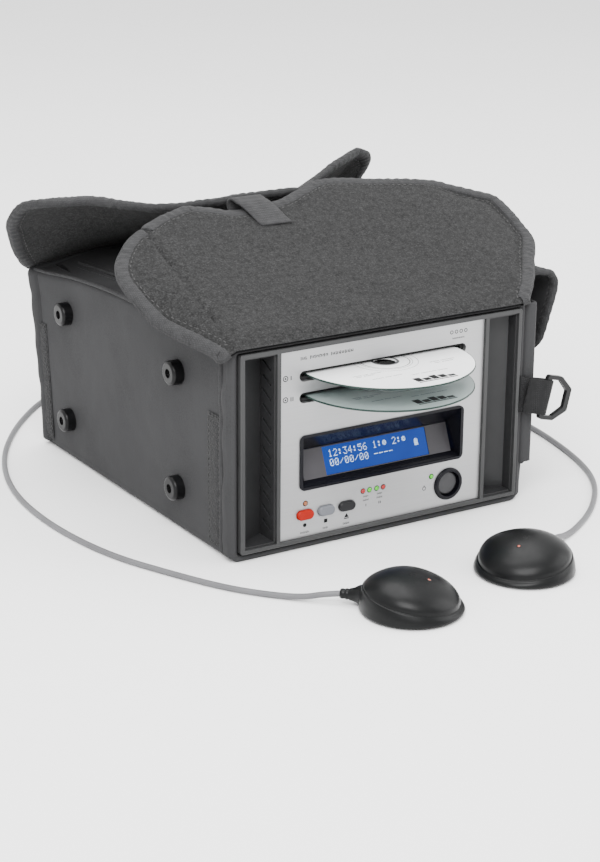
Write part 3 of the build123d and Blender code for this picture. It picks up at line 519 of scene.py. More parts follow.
def rear_drop(x, y):
    """How far the top sags towards its left rear corner."""
    return 8 * smooth_step(-x, 70, HALF_WIDE) * smooth_step(y, 150, LONG)


def top_swell(x, y):
    """How far the top bulges at a place."""
    return 3.0 * fullness(y) * max(0.0, 1 - (abs(x) / HALF_WIDE) ** 4)


def end_roll(y):
    """The puffed band sewn round each open end, with a groove along its seam."""
    near = min(y - 1, LONG - 1 - y)
    if near < 10.6:
        return 3.3 * math.sqrt(max(0.0, 1 - ((near - 4.8) / 5.8) ** 2))
    return -1.5 * max(0.0, 1 - abs(near - 11.4) / 1.4)


def case_shell():
    """The padded sleeve: a rounded section that runs back, with a rolled band at each end."""
    low, high = Vector(CASE_LOW), Vector(CASE_HIGH)
    half = (high - low) / 2
    middle = (high + low) / 2
    loop = rounded_loop(half.x, half.z, 6 * MM, 3.5 * MM)
    roll = WALL / 2
    span = LONG - 2
    ends = [roll / MM + i * 0.9 for i in range(14)]
    run = ends + [14.5 + (span - 27.5) * i / 60 for i in range(1, 60)] + [span - e for e in reversed(ends)]
    profile = [(0.0, CASE_LOW[1] + y * MM) for y in reversed(run)]
    for i in range(1, 8):
        a = math.pi * i / 8
        profile.append((-roll + roll * math.cos(a), CASE_LOW[1] + roll - roll * math.sin(a)))
    for i in range(10):
        profile.append((-WALL, CASE_LOW[1] + roll + (CASE_HIGH[1] - CASE_LOW[1] - 2 * roll) * i / 9))
    for i in range(1, 8):
        a = math.pi * i / 8
        profile.append((-roll - roll * math.cos(a), CASE_HIGH[1] - roll + roll * math.sin(a)))
    points = []
    for inset, place in profile:
        y = (place - FRONT) / MM
        for spot, out in loop:
            base = Vector((middle.x + spot.x, place, middle.z + spot.y))
            grow = 0.0
            if inset > -roll:
                upward = smooth_step(out.y, 0.5, 0.95)
                sideways = smooth_step(abs(out.x), 0.5, 0.95)
                above = smooth_step(out.y, -0.7, -0.2)
                grow = upward * top_swell(base.x / MM, y) + sideways * side_swell(y, base.z / MM)
                if inset == 0.0:
                    puff = end_roll(y) * (0.35 + 0.65 * sideways) * (0.8 + 0.5 * wobble(base, 0.016, 1.0))
                    grow += above * (puff + wobble(base, 0.045, 0.8) + wobble(base, 0.014, 0.25))
            spot = base + Vector((out.x, 0, out.y)) * (inset + grow * MM)
            left = smooth_step(-base.x / MM, 70, HALF_WIDE)
            spot.x -= left * rear_lean(y, base.z / MM) * MM
            spot.z -= rear_drop(base.x / MM, y) * smooth_step(base.z / MM, 110, TALL) * MM
            points.append(spot)
    shell = piece("case_sleeve", points, lattice(len(profile), len(loop), True, True), "nylon")
    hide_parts("case_shell")


def piping(name, corners, radius, wave=0.0):
    """A thin sewn-in piping along a smooth line, pinched a little by its seam."""

    def ring(distance):
        fat = radius * (1 + wave * math.sin(distance / (2.2 * MM)))
        return [(fat * math.cos(a), fat * math.sin(a)) for a in (2 * math.pi * k / 8 for k in range(8))]

    swept(name, frames_along(curve_through(corners, 80, False)), ring, "binding", ROOT)


def frames_along(line, closed=False, up=UP):
    """(point, outward, normal, distance) along a line, with the normal near up."""
    frames, walked = [], 0.0
    for i, spot in enumerate(line):
        before = line[i - 1] if i or closed else spot
        after = line[(i + 1) % len(line)] if i < len(line) - 1 or closed else spot
        along = (after - before).normalized()
        out = along.cross(up)
        if out.length < 0.05:
            out = along.cross(Vector((1, 0, 0)))
        out.normalize()
        normal = out.cross(along).normalized()
        frames.append((spot, out, normal, walked))
        if i < len(line) - 1:
            walked += (line[i + 1] - spot).length
    return frames


def on_top(x, y, lift):
    """A point on the top of the case, a little proud of it."""
    return at(x, y, 146.2 + lift + top_swell(x, y) - rear_drop(x, y))


def top_seam(x, lift):
    """Points along the top at a distance from its middle, from the front to the rear."""
    return [on_top(x, y, lift) for y in range(12, 278, 19)]


def case_piping():
    """Piping on the top, along its edges and down the front corner, with rows of stitches."""
    seam_x, edge_x, edge_z = 97, 115.6, 145.6
    for side, label in ((-1, "left"), (1, "right")):
        piping(f"top_piping_{label}", top_seam(side * seam_x, 1.0), 1.2 * MM)
        edge = []
        for y in range(9, 280, 18):
            lean = rear_lean(y, 145) if side < 0 else 0
            z = edge_z + 0.4 * math.sin(y / 31) - rear_drop(side * edge_x, y)
            edge.append(at(side * (edge_x + lean), y, z))
        piping(f"edge_piping_{label}", edge, 1.5 * MM)
        for gap, end in ((-5, "outer"), (5, "inner")):
            row = curve_through(top_seam(side * seam_x + gap, 0.5), 400, False)
            stitches(f"top_stitches_{label}_{end}", frames_along(row))
    corner = [at(-118.2 - side_swell(11.4, z), 11.4 + 0.3 * math.sin(z / 9), z) for z in range(8, 142, 12)]
    piping("corner_piping_left", corner, 1.7 * MM, 0.06)


case_shell()
case_piping()


# ======== Flaps ========


class Flap:
    """A padded panel on a smooth surface, with a bound and stitched edge.

    The outline is in the panel's own plane: x across the case and v from the hinge.
    The surface turns such a point into a place.
    """

    rings = 22

    def __init__(self, name, outline, surface, spine, thick, body):
        self.name, self.surface, self.thick, self.body = name, surface, thick, body
        self.edge = curve_through([(x * MM, v * MM) for x, v in outline], 260)
        self.spine = [Vector((x * MM, v * MM)) for x, v in spine]

    def normal(self, p):
        """The way out of the surface at a point of the panel."""
        step = 0.8 * MM
        dx = self.surface(p + Vector((step, 0))) - self.surface(p - Vector((step, 0)))
        dv = self.surface(p + Vector((0, step))) - self.surface(p - Vector((0, step)))
        return dx.cross(dv).normalized()

    def inner(self, p):
        """The nearest point of the spine, a level line in the middle of the panel."""
        a, b = self.spine
        return Vector((min(b.x, max(a.x, p.x)), a.y + (b.y - a.y) * 0.5))

    def pad(self, top_material, under_material):
        """The panel itself: two skins that meet near the edge."""
        count = len(self.edge)
        for side, material, label in ((1, top_material, "lining"), (-1, under_material, "outside")):
            points = []
            for k in range(self.rings + 1):
                t = k / self.rings
                inward = t ** 1.3
                for p in self.edge:
                    q = p.lerp(self.inner(p), inward)
                    depth = (q - p).length
                    full = self.thick * (0.25 + 0.25 * smooth_step(depth, 0, 9 * MM))
                    spot = self.surface(q)
                    lump = wobble(spot, 0.03, 0.5 * MM, side) + wobble(spot, 0.011, 0.18 * MM, side)
                    points.append(spot + self.normal(q) * side * (full + lump * smooth_step(depth, 0, 0.02)))
            faces = lattice(self.rings + 1, count, False, True)
            yield piece(f"{self.name}_{label}", points, faces, material, self.body)

    def rim(self, start, end, inset=0.0):
        """Frames along part of the edge, from one share of its length to another."""
        count = len(self.edge)
        frames, walked = [], 0.0
        steps = int((end - start) * 900)
        last = None
        for i in range(steps + 1):
            share = (start + (end - start) * i / steps) * count
            k = int(share)
            p = self.edge[k % count].lerp(self.edge[(k + 1) % count], share - k)
            ahead = self.edge[(k + 1) % count].lerp(self.edge[(k + 2) % count], share - k)
            step = (ahead - p).normalized() * inset
            p = p + Vector((-step.y, step.x))
            ahead = ahead + Vector((-step.y, step.x))
            spot = self.surface(p)
            normal = self.normal(p)
            along = (self.surface(ahead) - spot).normalized()
            out = along.cross(normal).normalized()
            if last:
                walked += (spot - last).length
            last = spot
            frames.append((spot, out, normal, walked))
        return frames

    def bind(self, start, end, sign, width=9 * MM):
        """Puckered tape folded over the edge, and its two rows of stitches."""
        frames = self.rim(start, end)
        frames = [(p, o * sign, n, d) for p, o, n, d in frames]
        half = self.thick / 2 + 0.5 * MM

        def section(distance):
            slack = 0.5 + noise.noise(Vector((distance / 0.02, 0, 0)))
            pucker = 0.45 * MM * math.sin(distance / (1.15 * MM)) * slack
            slump = 0.6 * MM * noise.noise(Vector((distance / 0.012, 3, 0)))
            top = half + pucker
            return [
                (-width, 0.55 * half),
                (-width * 0.86, top * 0.92),
                (-width * 0.5, top + slump * 0.5),
                (-width * 0.15, top * 0.86),
                (1.0 * MM + slump, 0.0),
                (-width * 0.15, -top * 0.86),
                (-width * 0.5, -top + slump * 0.5),
                (-width * 0.86, -top * 0.92),
                (-width, -0.55 * half),
            ]

        band = swept(f"{self.name}_binding", frames, section, "binding", self.body)
        inset = width + 0.6 * MM
        inner = self.rim(start, end, inset * sign)
        full = self.thick * (0.25 + 0.25 * smooth_step(inset, 0, 9 * MM))
        rows = [
            stitches(f"{self.name}_stitches_{side}", inner, rise * full, self.body)
            for side, rise in (("top", 1), ("under", -1))
        ]
        return [band, *rows]

    def make(self, node, materials, slot, fill, binding):
        """Both skins, which stand for a CAD node, and the binding round them."""
        top, under = self.pad(*materials)
        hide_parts(node)
        for extra in self.bind(*binding):
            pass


FRONT_TILT = math.radians(22)
FRONT_OUTLINE = [
    (-112, -3), (-60, -3), (0, -3), (60, -3), (112, -3), (120, 2), (137, 21), (154, 44), (166, 60),
    (171.5, 71), (173.5, 88), (174, 105), (173, 119), (169, 125), (159, 131), (144, 140), (129, 149),
    (84, 159), (44, 165), (19, 156), (-4, 147),
    (-38, 142), (-56, 148), (-72, 153.5), (-77, 152.8), (-87, 149), (-99.5, 144), (-114, 136), (-127, 128),
    (-138, 118), (-147, 106), (-152, 94), (-153.5, 80), (-152, 66), (-149, 56), (-145, 44), (-138, 32),
    (-132, 19), (-127, 5), (-125, -3),
]
FRONT_TURNED = FRONT_OUTLINE[4:17]


def to_line(point, line):
    """How far a flat point is from a line of corners."""
    best = 1e9
    for a, b in zip(line, line[1:]):
        a, b = Vector(a), Vector(b)
        share = min(1.0, max(0.0, (point - a).dot(b - a) / (b - a).length_squared))
        best = min(best, (point - a.lerp(b, share)).length)
    return best


def front_surface(p):
    """Rises back from the hinge, with a slack middle and wings that droop past a crease."""
    x, v = p.x / MM, p.y / MM
    wing = max(0.0, abs(x) - 116)
    lift = -0.10 * wing - 0.0016 * wing * wing - 0.62 * wing * (1 - smooth_step(v, 6, 80))
    if x > 0:
        lift = -0.05 * wing
    if x > 112:
        inside = to_line(Vector((x, v)), FRONT_TURNED)
        lift -= 2.6 * math.exp(-((inside - 12) / 4.5) ** 2) * smooth_step(x, 118, 142)
    across = min(abs(x), HALF_WIDE) / HALF_WIDE
    sag = -2.2 * math.sin(math.pi * min(1, max(0, v / 155))) * (1 - across ** 2)
    ripple = 1.3 * noise.noise(Vector((x / 55, v / 40, 0.3))) + 0.5 * noise.noise(Vector((x / 18, v / 16, 2)))
    crease = -(2.0 if x < 0 else 0.5) * math.exp(-((abs(x) - 115) / 2.0) ** 2)
    height = (sag + ripple) * smooth_step(v, 0, 22) + lift + crease * smooth_step(v, 5, 25)
    y = v * math.cos(FRONT_TILT) - height * math.sin(FRONT_TILT)
    z = v * math.sin(FRONT_TILT) + height * math.cos(FRONT_TILT)
    roll = 1 - smooth_step(v, -6, 9)
    return Vector((x * MM, FRONT + (y + 0.5 * roll) * MM, HINGE_Z + (z - 1.5 * roll) * MM))



def front_flap():
    """The front flap, open and lying back over the case."""
    flap = Flap("front_flap", FRONT_OUTLINE, front_surface, [(-95, 74), (95, 74)], 5 * MM, "front_flap_body")
    flap.make("front_flap", ("lining", "nylon"), "flap_lining", 0.2, (0.262, 0.992, 1))


REAR_TILT = math.radians(23)


def rear_surface(p):
    """Rises forward from the rear edge; the left wing lifts and the right one is folded up."""
    x, v = p.x / MM, p.y / MM
    left = smooth_step(-x, 60, 122)
    right = min(1.0, max(0.0, (x - 37) / 69))
    tilt = REAR_TILT + math.radians(12.5) * left * (1 - 0.85 * smooth_step(v, 88, 150))
    tilt += math.radians(15) * right
    ripple = 1.6 * noise.noise(Vector((x / 50, v / 45, 7.3))) + 0.5 * noise.noise(Vector((x / 15, v / 15, 9)))
    height = ripple * smooth_step(v, 0, 25) * (1 - 0.8 * right)
    height -= 8 * smooth_step(-x, 60, HALF_WIDE) * (1 - smooth_step(v, 4, 60))
    y = LONG - v * math.cos(tilt)
    z = v * math.sin(tilt) + height
    return Vector((x * MM, FRONT + y * MM, HINGE_Z + z * MM))


REAR_OUTLINE = [
    (112, -3), (60, -3), (0, -3), (-60, -3), (-112, -4), (-125, -3), (-134, 8), (-148, 30), (-159, 52),
    (-165, 68), (-167, 87), (-163, 105), (-149, 118), (-127, 124), (-112, 135), (-90, 143), (-65, 148),
    (-30, 147), (0, 147), (20, 149), (40, 138), (52, 131), (66, 129), (80, 126), (95, 120), (108, 115),
    (115, 111), (120, 107), (124.5, 100), (129.5, 89), (132.5, 75), (134, 58), (131, 42), (124, 16),
]


def rear_flap():
    """The rear flap, raised behind the front one."""
    flap = Flap("rear_flap", REAR_OUTLINE, rear_surface, [(-90, 66), (80, 66)], 5 * MM, "rear_flap_body")
    flap.make("rear_flap", ("lining", "nylon"), "flap_lining", 0.2, (0.25, 0.985, -1))


front_flap()
rear_flap()


# ======== Pocket, webbing and tapes ========

POUCH_LOW, POUCH_HIGH = (tuple((c - o) / MM for c, o in zip(p, (0, FRONT, 0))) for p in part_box("side_pouch"))


def side_pouch():
    """A flat open pocket: skin, rolled lip and lining round a long thin loop."""
    low, high = POUCH_LOW, POUCH_HIGH
    mid_x, mid_y = (low[0] + high[0]) / 2, (low[1] + high[1]) / 2
    half_x, half_y = (high[0] - low[0]) / 2, (high[1] - low[1]) / 2
    loop = rounded_loop(half_x, half_y, 3.5, 5)
    rows = [(4.4, low[2] + 0.4), (2.0, low[2]), (0.6, low[2] + 0.8)]
    rows += [(0.0, low[2] + 2 + (high[2] - low[2] - 3.4) * i / 22) for i in range(23)]
    rows += [(0.3, high[2] - 0.5), (1.1, high[2]), (1.9, high[2] - 0.6)]
    rows += [(2.1, high[2] - 3 - (high[2] - low[2] - 7) * i / 8) for i in range(9)]
    rows += [(3.6, low[2] + 3.4), (4.4, low[2] + 3.2)]
    points = []
    for k, (inset, z) in enumerate(rows):
        for spot, out in loop:
            x = mid_x + spot.x - out.x * inset
            y = mid_y + spot.y - out.y * inset
            level = (z - low[2]) / (high[2] - low[2])
            along = max(0.0, 1 - (abs(y - mid_y) / half_y) ** 6)
            if out.x > 0.3 and k < 28:
                bulge = 0.2 * along * math.sin(math.pi * min(1.0, max(0.0, level))) ** 0.7
                x += bulge + wobble(at(x, y, z), 0.035, 0.3) * along * out.x
            if k < 3:
                z_here = z + 9 * (1 - smooth_step(y, 1, 16)) * smooth_step(x, mid_x - 2, mid_x + 5)
            else:
                z_here = z
            points.append(at(x, y, z_here))
    cols = len(loop)
    faces = lattice(len(rows), cols, False, True)
    faces += [tuple(range(cols)), tuple(range((len(rows) - 1) * cols, len(rows) * cols))]
    pouch = piece("side_pouch_skin", points, faces, "nylon")
    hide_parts("side_pouch")
    for z, label in ((high[2] - 9, "hem"), (low[2] + 6, "base")):
        row = frames_along(curve_through([at(high[0] + 0.2, y, z) for y in range(8, 282, 16)], 300, False))
        lifted = [(p + Vector((0.9 * MM, 0, 0)), o, n, d) for p, o, n, d in row]
        stitches(f"pouch_stitches_{label}", lifted)


POCKET_CREST = [
    (122.5, 150.2), (134, 152.6), (148, 153.0), (160, 152.2), (169, 149.0), (173.2, 142), (172.6, 133),
    (170.2, 121), (167.4, 108), (165.0, 96), (163.2, 88),
]
POCKET_LINE = curve_through([(x * MM, z * MM) for x, z in POCKET_CREST], 80, False)
POCKET_LONG = sum((b - a).length for a, b in zip(POCKET_LINE, POCKET_LINE[1:]))


def pocket_surface(p):
    """p.x runs along the case and p.y runs out over the pocket and down."""
    share = min(1.0, max(0.0, p.y / POCKET_LONG)) * (len(POCKET_LINE) - 1)
    k = min(len(POCKET_LINE) - 2, int(share))
    spot = POCKET_LINE[k].lerp(POCKET_LINE[k + 1], share - k)
    over = p.y - min(POCKET_LONG, max(0.0, p.y))
    wave = 1.5 * noise.noise(Vector((p.x / 0.06, p.y / 0.04, 4))) * smooth_step(p.y, 0.01, 0.05)
    droop = 3.0 * smooth_step(abs(p.x - 0.144), 0.07, 0.106) * smooth_step(p.y, 0.04, 0.1)
    return Vector((spot.x + (wave - droop) * MM, FRONT + p.x, spot.y - over + wave * 0.5 * MM))


def pouch_flap():
    """The pocket's flap, which bridges the gap beside the case and hangs over the pocket."""
    long = POCKET_LONG / MM
    outline = [
        (250, 1), (200, 0), (144, 0), (88, 0), (38, 1), (38, 30), (38.5, long - 24), (45, long - 8),
        (60, long - 1), (100, long), (144, long), (188, long), (228, long - 1), (243, long - 8),
        (249.5, long - 24), (250, 30),
    ]
    spine = [(72, long / 2), (216, long / 2)]
    flap = Flap("pocket_flap", outline, pocket_surface, spine, 4 * MM, "pouch_flap_body")
    # The underside takes the near-black nylon, which holds painted shade.
    flap.make("pouch_flap", ("nylon", "nylon_painted_shade"), "case_cloth", 0.1, (0.24, 0.98, -1, 6 * MM))


def ribbon(name, path, width_way, width, thick, material, body=ROOT):
    """A flat strap along a path, with rounded edges."""
    frames = []
    for i, spot in enumerate(path):
        along = (path[min(i + 1, len(path) - 1)] - path[max(i - 1, 0)]).normalized()
        normal = along.cross(width_way).normalized()
        frames.append((spot, width_way, normal, i))
    half = width / 2
    edge = thick / 2

    def section(distance):
        return [
            (-half, 0.0), (-half + 0.5 * edge, -edge), (-half * 0.5, -edge), (0.0, -edge),
            (half * 0.5, -edge), (half - 0.5 * edge, -edge), (half, 0.0), (half - 0.5 * edge, edge),
            (half * 0.5, edge), (0.0, edge), (-half * 0.5, edge), (-half + 0.5 * edge, edge),
        ]

    strap = swept(name, frames, section, material, body)
    tidy = bmesh.new()
    tidy.from_mesh(strap.data)
    bmesh.ops.holes_fill(tidy, edges=[e for e in tidy.edges if e.is_boundary])
    tidy.to_mesh(strap.data)
    tidy.free()
    return strap


def ring_loop(label, y, facing_front):
    """One strap: a strand out from the case, round the ring's bar and back."""
    tilt = math.radians(14)
    out = Vector((math.cos(tilt), 0, -math.sin(tilt)))
    bar_way = Vector((math.sin(tilt), 0, math.cos(tilt)))
    back = Vector((0, -facing_front, 0))
    bar = at(133, y, 75.5)
    radius = 3.4 * MM
    inner = ((-19, 1), (-14, 0.8), (-8, 0.5), (-3, 0))
    outer = ((-3, 0), (-8, 0.8), (-13, 1.2), (-17, 1.4))
    path = [bar + out * (t * MM) - back * (radius * (1 - 0.25 * k)) for t, k in inner]
    for i in range(10):
        a = math.pi * i / 9
        path.append(bar + (out * math.sin(a) - back * math.cos(a)) * radius)
    path += [bar + out * (t * MM) + back * (radius * (1 - 0.5 * k)) for t, k in outer]
    return ribbon(f"ring_strap_{label}", path, bar_way, 25 * MM, 1.4 * MM, "ring_web")


def webbing():
    """The straps that hold the two rings, and the patches that sew them to the case."""
    straps = [ring_loop("front", -3.4, 1), ring_loop("rear", 290.4, -1)]
    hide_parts("ring_webbing")
    for label, y, sign in (("front", 0.2, -1), ("rear", 286.8, 1)):
        path = []
        for t in (0, 0.15, 0.4, 0.7, 1):
            path.append(at(113 + 11 * t, y + sign * 1.2 * math.sin(math.pi * t), 80 - 4 * t))
        ribbon(f"ring_patch_{label}", path, UP, 26 * MM, 1.6 * MM, "ring_web")


def flap_tab():
    """The pull tab: it lies on the lining, arches to the hem and curls under it."""
    path = []
    for v, lift in ((119, 3.6), (123, 3.9), (128, 4.8), (133, 5.8), (137, 6.5), (141, 6.7), (144, 6.3)):
        p = Vector((-17.5 - 10 * (v - 119) / 30, v)) * MM
        path.append(front_surface(p) + Vector((0, -0.37, 0.93)) * lift * MM)
    hem = front_surface(Vector((-25, 146)) * MM)
    for ahead, lift in ((4.5, 5.0), (6.6, 2.0), (6.4, -1.6), (3.6, -4.6), (-2, -5.4), (-9, -5.0)):
        path.append(hem + Vector((-0.3 * ahead, 0.93 * ahead - 0.37 * lift, 0.37 * ahead + 0.93 * lift)) * MM)
    line = curve_through(path, 40, False)
    across = Vector((1, -0.08, 0.02)).normalized()
    tab = ribbon("pull_tab", line, across, 23.5 * MM, 1.6 * MM, "webbing", "front_flap_body")
    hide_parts("flap_tab")


HOOK_WIDE, HOOK_TALL, HOOK_LOW = 17, 91, 7


def hook_strips():
    """Two strips of hook tape that follow the wall's bulge, sewn round their edges."""
    rows, cols = 40, 9
    for label, y0 in (("front", 13), ("rear", 267)):
        points = []
        for i in range(rows):
            for j in range(cols):
                y, z = y0 + HOOK_WIDE * j / (cols - 1), HOOK_LOW + HOOK_TALL * i / (rows - 1)
                beside = 3 * min(j, cols - 1 - j) / (cols - 1) + 0.2
                above = 9 * min(i, rows - 1 - i) / (rows - 1) + 0.2
                proud = 0.3 + 1.5 * min(1.0, beside, above) + 0.25 * noise.noise(Vector((y / 2, z / 2, 0)))
                points.append(at(-HALF_WIDE - side_swell(y, z) - rear_lean(y, z) - proud, y, z))
        piece(f"hook_strip_{label}", points, lattice(rows, cols), "hooks")
        line = []
        for spot, _ in rounded_loop(HOOK_WIDE / 2 - 1.6, HOOK_TALL / 2 - 1.6, 2, 8):
            y, z = y0 + HOOK_WIDE / 2 + spot.x, HOOK_LOW + HOOK_TALL / 2 + spot.y
            line.append(at(-118.15 - side_swell(y, z) - rear_lean(y, z), y, z))
        frames = frames_along(curve_through(line, 260), True, Vector((-1, 0, 0)))
        row = stitches(f"hook_stitches_{label}", frames, 0.15 * MM, ROOT, 3.4 * MM, 2 * MM)
    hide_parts("hook_strips")


side_pouch()
pouch_flap()
webbing()
flap_tab()
hook_strips()


# ======== Print and display ========


def outline_disc(radius, inner=0.0, parts=40):
    """A flat ring or disc as points on a plane and faces."""
    turns = [2 * math.pi * i / parts for i in range(parts)]
    points = [(radius * math.cos(a), radius * math.sin(a)) for a in turns]
    if not inner:
        return points, [tuple(range(parts))]
    points += [(x * inner / radius, y * inner / radius) for x, y in points]
    return points, [(i, (i + 1) % parts, parts + (i + 1) % parts, parts + i) for i in range(parts)]


def outline_bar(width, height):
    """A flat upright rectangle."""
    w, h = width / 2, height / 2
    return [(-w, -h), (w, -h), (w, h), (-w, h)], [(0, 1, 2, 3)]


def outline_triangle(size):
    """A flat triangle that points up."""
    return [(-size, -size * 0.6), (size, -size * 0.6), (0, size * 0.9)], [(0, 1, 2)]


class Print:
    """Flat marks on a plane that runs along X, gathered into one thin raised piece."""

    def __init__(self, origin, up):
        self.origin, self.up = origin, up.normalized()
        self.out = RIGHT.cross(self.up).normalized()
        self.points, self.faces = [], []

    def add(self, shape, x, y):
        """Adds a shape at a place, in millimetres."""
        points, faces = shape
        first = len(self.points)
        for px, py in points:
            place = RIGHT * ((x + px) * MM) + self.up * ((y + py) * MM)
            self.points.append(self.origin + place + self.out * (0.05 * MM))
        self.faces += [tuple(first + i for i in face) for face in faces]

    def make(self, name, material, slot, body=ROOT):
        """Gives the marks their thickness and puts them in the scene."""
        mesh = bpy.data.meshes.new(name)
        mesh.from_pydata([tuple(p) for p in self.points], [], self.faces)
        thin = bmesh.new()
        thin.from_mesh(mesh)
        bmesh.ops.solidify(thin, geom=thin.faces[:], thickness=0.04 * MM)
        bmesh.ops.recalc_face_normals(thin, faces=thin.faces)
        thin.to_mesh(mesh)
        thin.free()
        placed(name, mesh, material, body)


def dashes(sheet, x, y, widths, height, gap=0.9):
    """Rows of fine upright ticks: each row stands for a word without spelling one."""
    pitch = height * 0.52
    for k, width in enumerate(widths):
        for i in range(max(2, int(width / pitch))):
            tall = height * (0.72 + 0.28 * ((i * 7 + k * 3) % 3 == 0))
            sheet.add(outline_bar(pitch * 0.42, tall), x + pitch * (i + 0.5), y)
            if (i + k) % 2:
                bar = outline_bar(pitch, height * 0.16)
                sheet.add(bar, x + pitch * (i + 0.9), y + tall * 0.3 * (-1) ** i)
        x += width + gap


def panel_print():
    """Symbols and plain ticks: a disc for each slot, and record, stop, eject and power signs."""
    sheet = Print(at(0, 0, 0), UP)
    dashes(sheet, -66.5, 132.8, (5.5, 14.5, 18.5), 2.3, 1.6)
    for k in range(4):
        sheet.add(outline_disc(1.35, 0.85), 53.6 + 3.9 * k, 133.0)
    dashes(sheet, 54.2, 128.6, (10.5,), 1.2)
    for z, count in ((121.0, 1), (106.6, 2)):
        sheet.add(outline_disc(2.0, 1.45), -77.6, z)
        sheet.add(outline_disc(0.6), -77.6, z)
        for k in range(count):
            sheet.add(outline_bar(0.65, 2.8), -73.4 + 1.5 * k, z)
    sheet.add(outline_disc(1.4), -62, 17.0)
    sheet.add(outline_bar(2.7, 2.7), -45.5, 17.0)
    sheet.add(outline_triangle(1.9), -29, 17.3)
    sheet.add(outline_bar(3.8, 0.7), -29, 15.4)
    for x, width in ((-65.6, 7.2), (-47.9, 4.8), (-31.9, 5.8)):
        dashes(sheet, x, 12.0, (width,), 1.6)
    for x, count in ((-13.4, 1), (-2.3, 2)):
        dashes(sheet, x - 2.3, 28.3, (4.6,), 1.3)
        dashes(sheet, x - 2.6, 25.5, (5.2,), 1.3)
        for k in range(count):
            sheet.add(outline_bar(0.5, 1.8), x - 0.6 * (count - 1) + 1.2 * k, 21.8)
    for x in (-16.0, -10.7, -4.9, 0.4, -61.6, 40.2):
        sheet.add(outline_disc(2.0, 1.55), x, 32.3)
    sheet.add(outline_disc(1.5, 1.1), 34.4, 24.6)
    sheet.add(outline_bar(0.5, 1.7), 34.4, 26.0)
    sheet.make("panel_marks", "ink", "gloss_black")


def disc_edge(label, node, body):
    """The bare polycarbonate rim of a disc, which shows dark between the white face and the light."""
    low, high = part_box(node)
    middle = Vector(((low[0] + high[0]) / 2, (low[1] + high[1]) / 2, (low[2] + high[2]) / 2))
    radius, half = (high[0] - low[0]) / 2, (high[2] - low[2]) / 2
    points = []
    turns = 160
    section = [(-0.35, 1.04), (-0.05, 1.0), (0.1, 0.5), (0.1, -0.5), (-0.05, -1.0), (-0.35, -1.04)]
    for i in range(turns):
        a = 2 * math.pi * i / turns
        way = Vector((math.cos(a), math.sin(a), 0))
        points += [middle + way * (radius + u * MM) + UP * (half * v) for u, v in section]
    rim = piece(f"disc_{label}_edge", points, lattice(turns, len(section), True, True), "disc_rim", body)


def disc_print(label, node, body):
    """Hub rings, caption ticks and a plain block mark on a disc's upper face."""
    low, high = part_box(node)
    middle = Vector(((low[0] + high[0]) / 2, (low[1] + high[1]) / 2, high[2]))
    grey = Print(middle, Vector((0, 1, 0)))
    for radius, inner, parts in ((9.6, 7.6, 60), (16.9, 16.3, 72), (18.6, 18.35, 72), (22.4, 22.15, 72)):
        grey.add(outline_disc(radius, inner, parts), 0, 0)
    for y, x, widths in (
        (-19.0, -38, (7, 4, 9)), (-21.6, -37, (5, 8)), (-30.0, -30, (9, 5, 7)),
        (-17.0, 24, (8, 11)), (-20.0, 26, (5, 9)), (-34.4, -2, (6, 12, 8)),
    ):
        dashes(grey, x, y, widths, 1.0, 1.2)
    grey.make(f"disc_{label}_lines", "grey_ink", "disc_white", body)
    black = Print(middle, Vector((0, 1, 0)))
    for k, height in enumerate((7.6, 5.2, 7.6, 6.2, 3.6)):
        black.add(outline_bar(5.4, height), -4.5 + 6.2 * k, -49.0 + height / 2)
    black.add(outline_bar(30.2, 1.3), 7.9, -50.6)
    black.make(f"disc_{label}_mark", "ink", "disc_white", body)


# Each row of a character is a number whose five bits are its dots.
GLYPHS = {
    "0": (14, 17, 19, 21, 25, 17, 14), "1": (4, 12, 4, 4, 4, 4, 14), "2": (14, 17, 1, 2, 4, 8, 31),
    "3": (31, 2, 4, 2, 1, 17, 14), "4": (2, 6, 10, 18, 31, 2, 2), "5": (31, 16, 30, 1, 1, 17, 14),
    "6": (6, 8, 16, 30, 17, 17, 14), ":": (0, 12, 12, 0, 12, 12, 0), "/": (0, 1, 2, 4, 8, 16, 0),
    " ": (0, 0, 0, 0, 0, 0, 0), "o": (0, 14, 31, 27, 31, 14, 0), "-": (0, 0, 0, 31, 0, 0, 0),
    "b": (14, 31, 31, 31, 31, 31, 31),
}


def display_marks():
    """Two rows of dot characters: a running time, two disc signs, a counter and a battery."""
    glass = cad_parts["lcd_module"].data
    face = max((p for p in glass.polygons if p.normal.y < -0.5), key=lambda p: p.area)
    normal = face.normal.normalized()
    flat = [p for p in glass.polygons if p.normal.dot(normal) > 0.9]
    flat = [p for p in flat if abs((p.center - face.center).dot(normal)) < 0.1 * MM]
    spots = [glass.vertices[i].co for p in flat for i in p.vertices]
    middle = Vector(tuple((max(s[k] for s in spots) + min(s[k] for s in spots)) / 2 for k in range(3)))
    up = normal.cross(RIGHT)
    marks = Print(middle, up if up.z > 0 else -up)
    dot, step, advance = 0.44, 0.62, 3.95
    for row, text in ((0, "12:34:56 1:o 2:o"), (1, "00/00/00 ----  b")):
        for column, letter in enumerate(text):
            x0 = -37.0 + column * advance + (9.5 if letter == "b" else 0)
            y0 = 6.6 - row * 6.3 + (2.6 if letter == "b" else 0)
            for line, bits in enumerate(GLYPHS[letter]):
                for k in range(5):
                    if bits >> (4 - k) & 1:
                        marks.add(outline_bar(dot, dot), x0 + k * step, y0 - line * (step + 0.08))
    marks.make("display_dots", "pixels", "lcd_blue")


panel_print()
for disc_label, disc_node in (("upper", "disc_a"), ("lower", "disc_b")):
    disc_print(disc_label, disc_node, f"{disc_label}_disc")
    disc_edge(disc_label, disc_node, f"{disc_label}_disc")
display_marks()


# ======== Table microphones ========

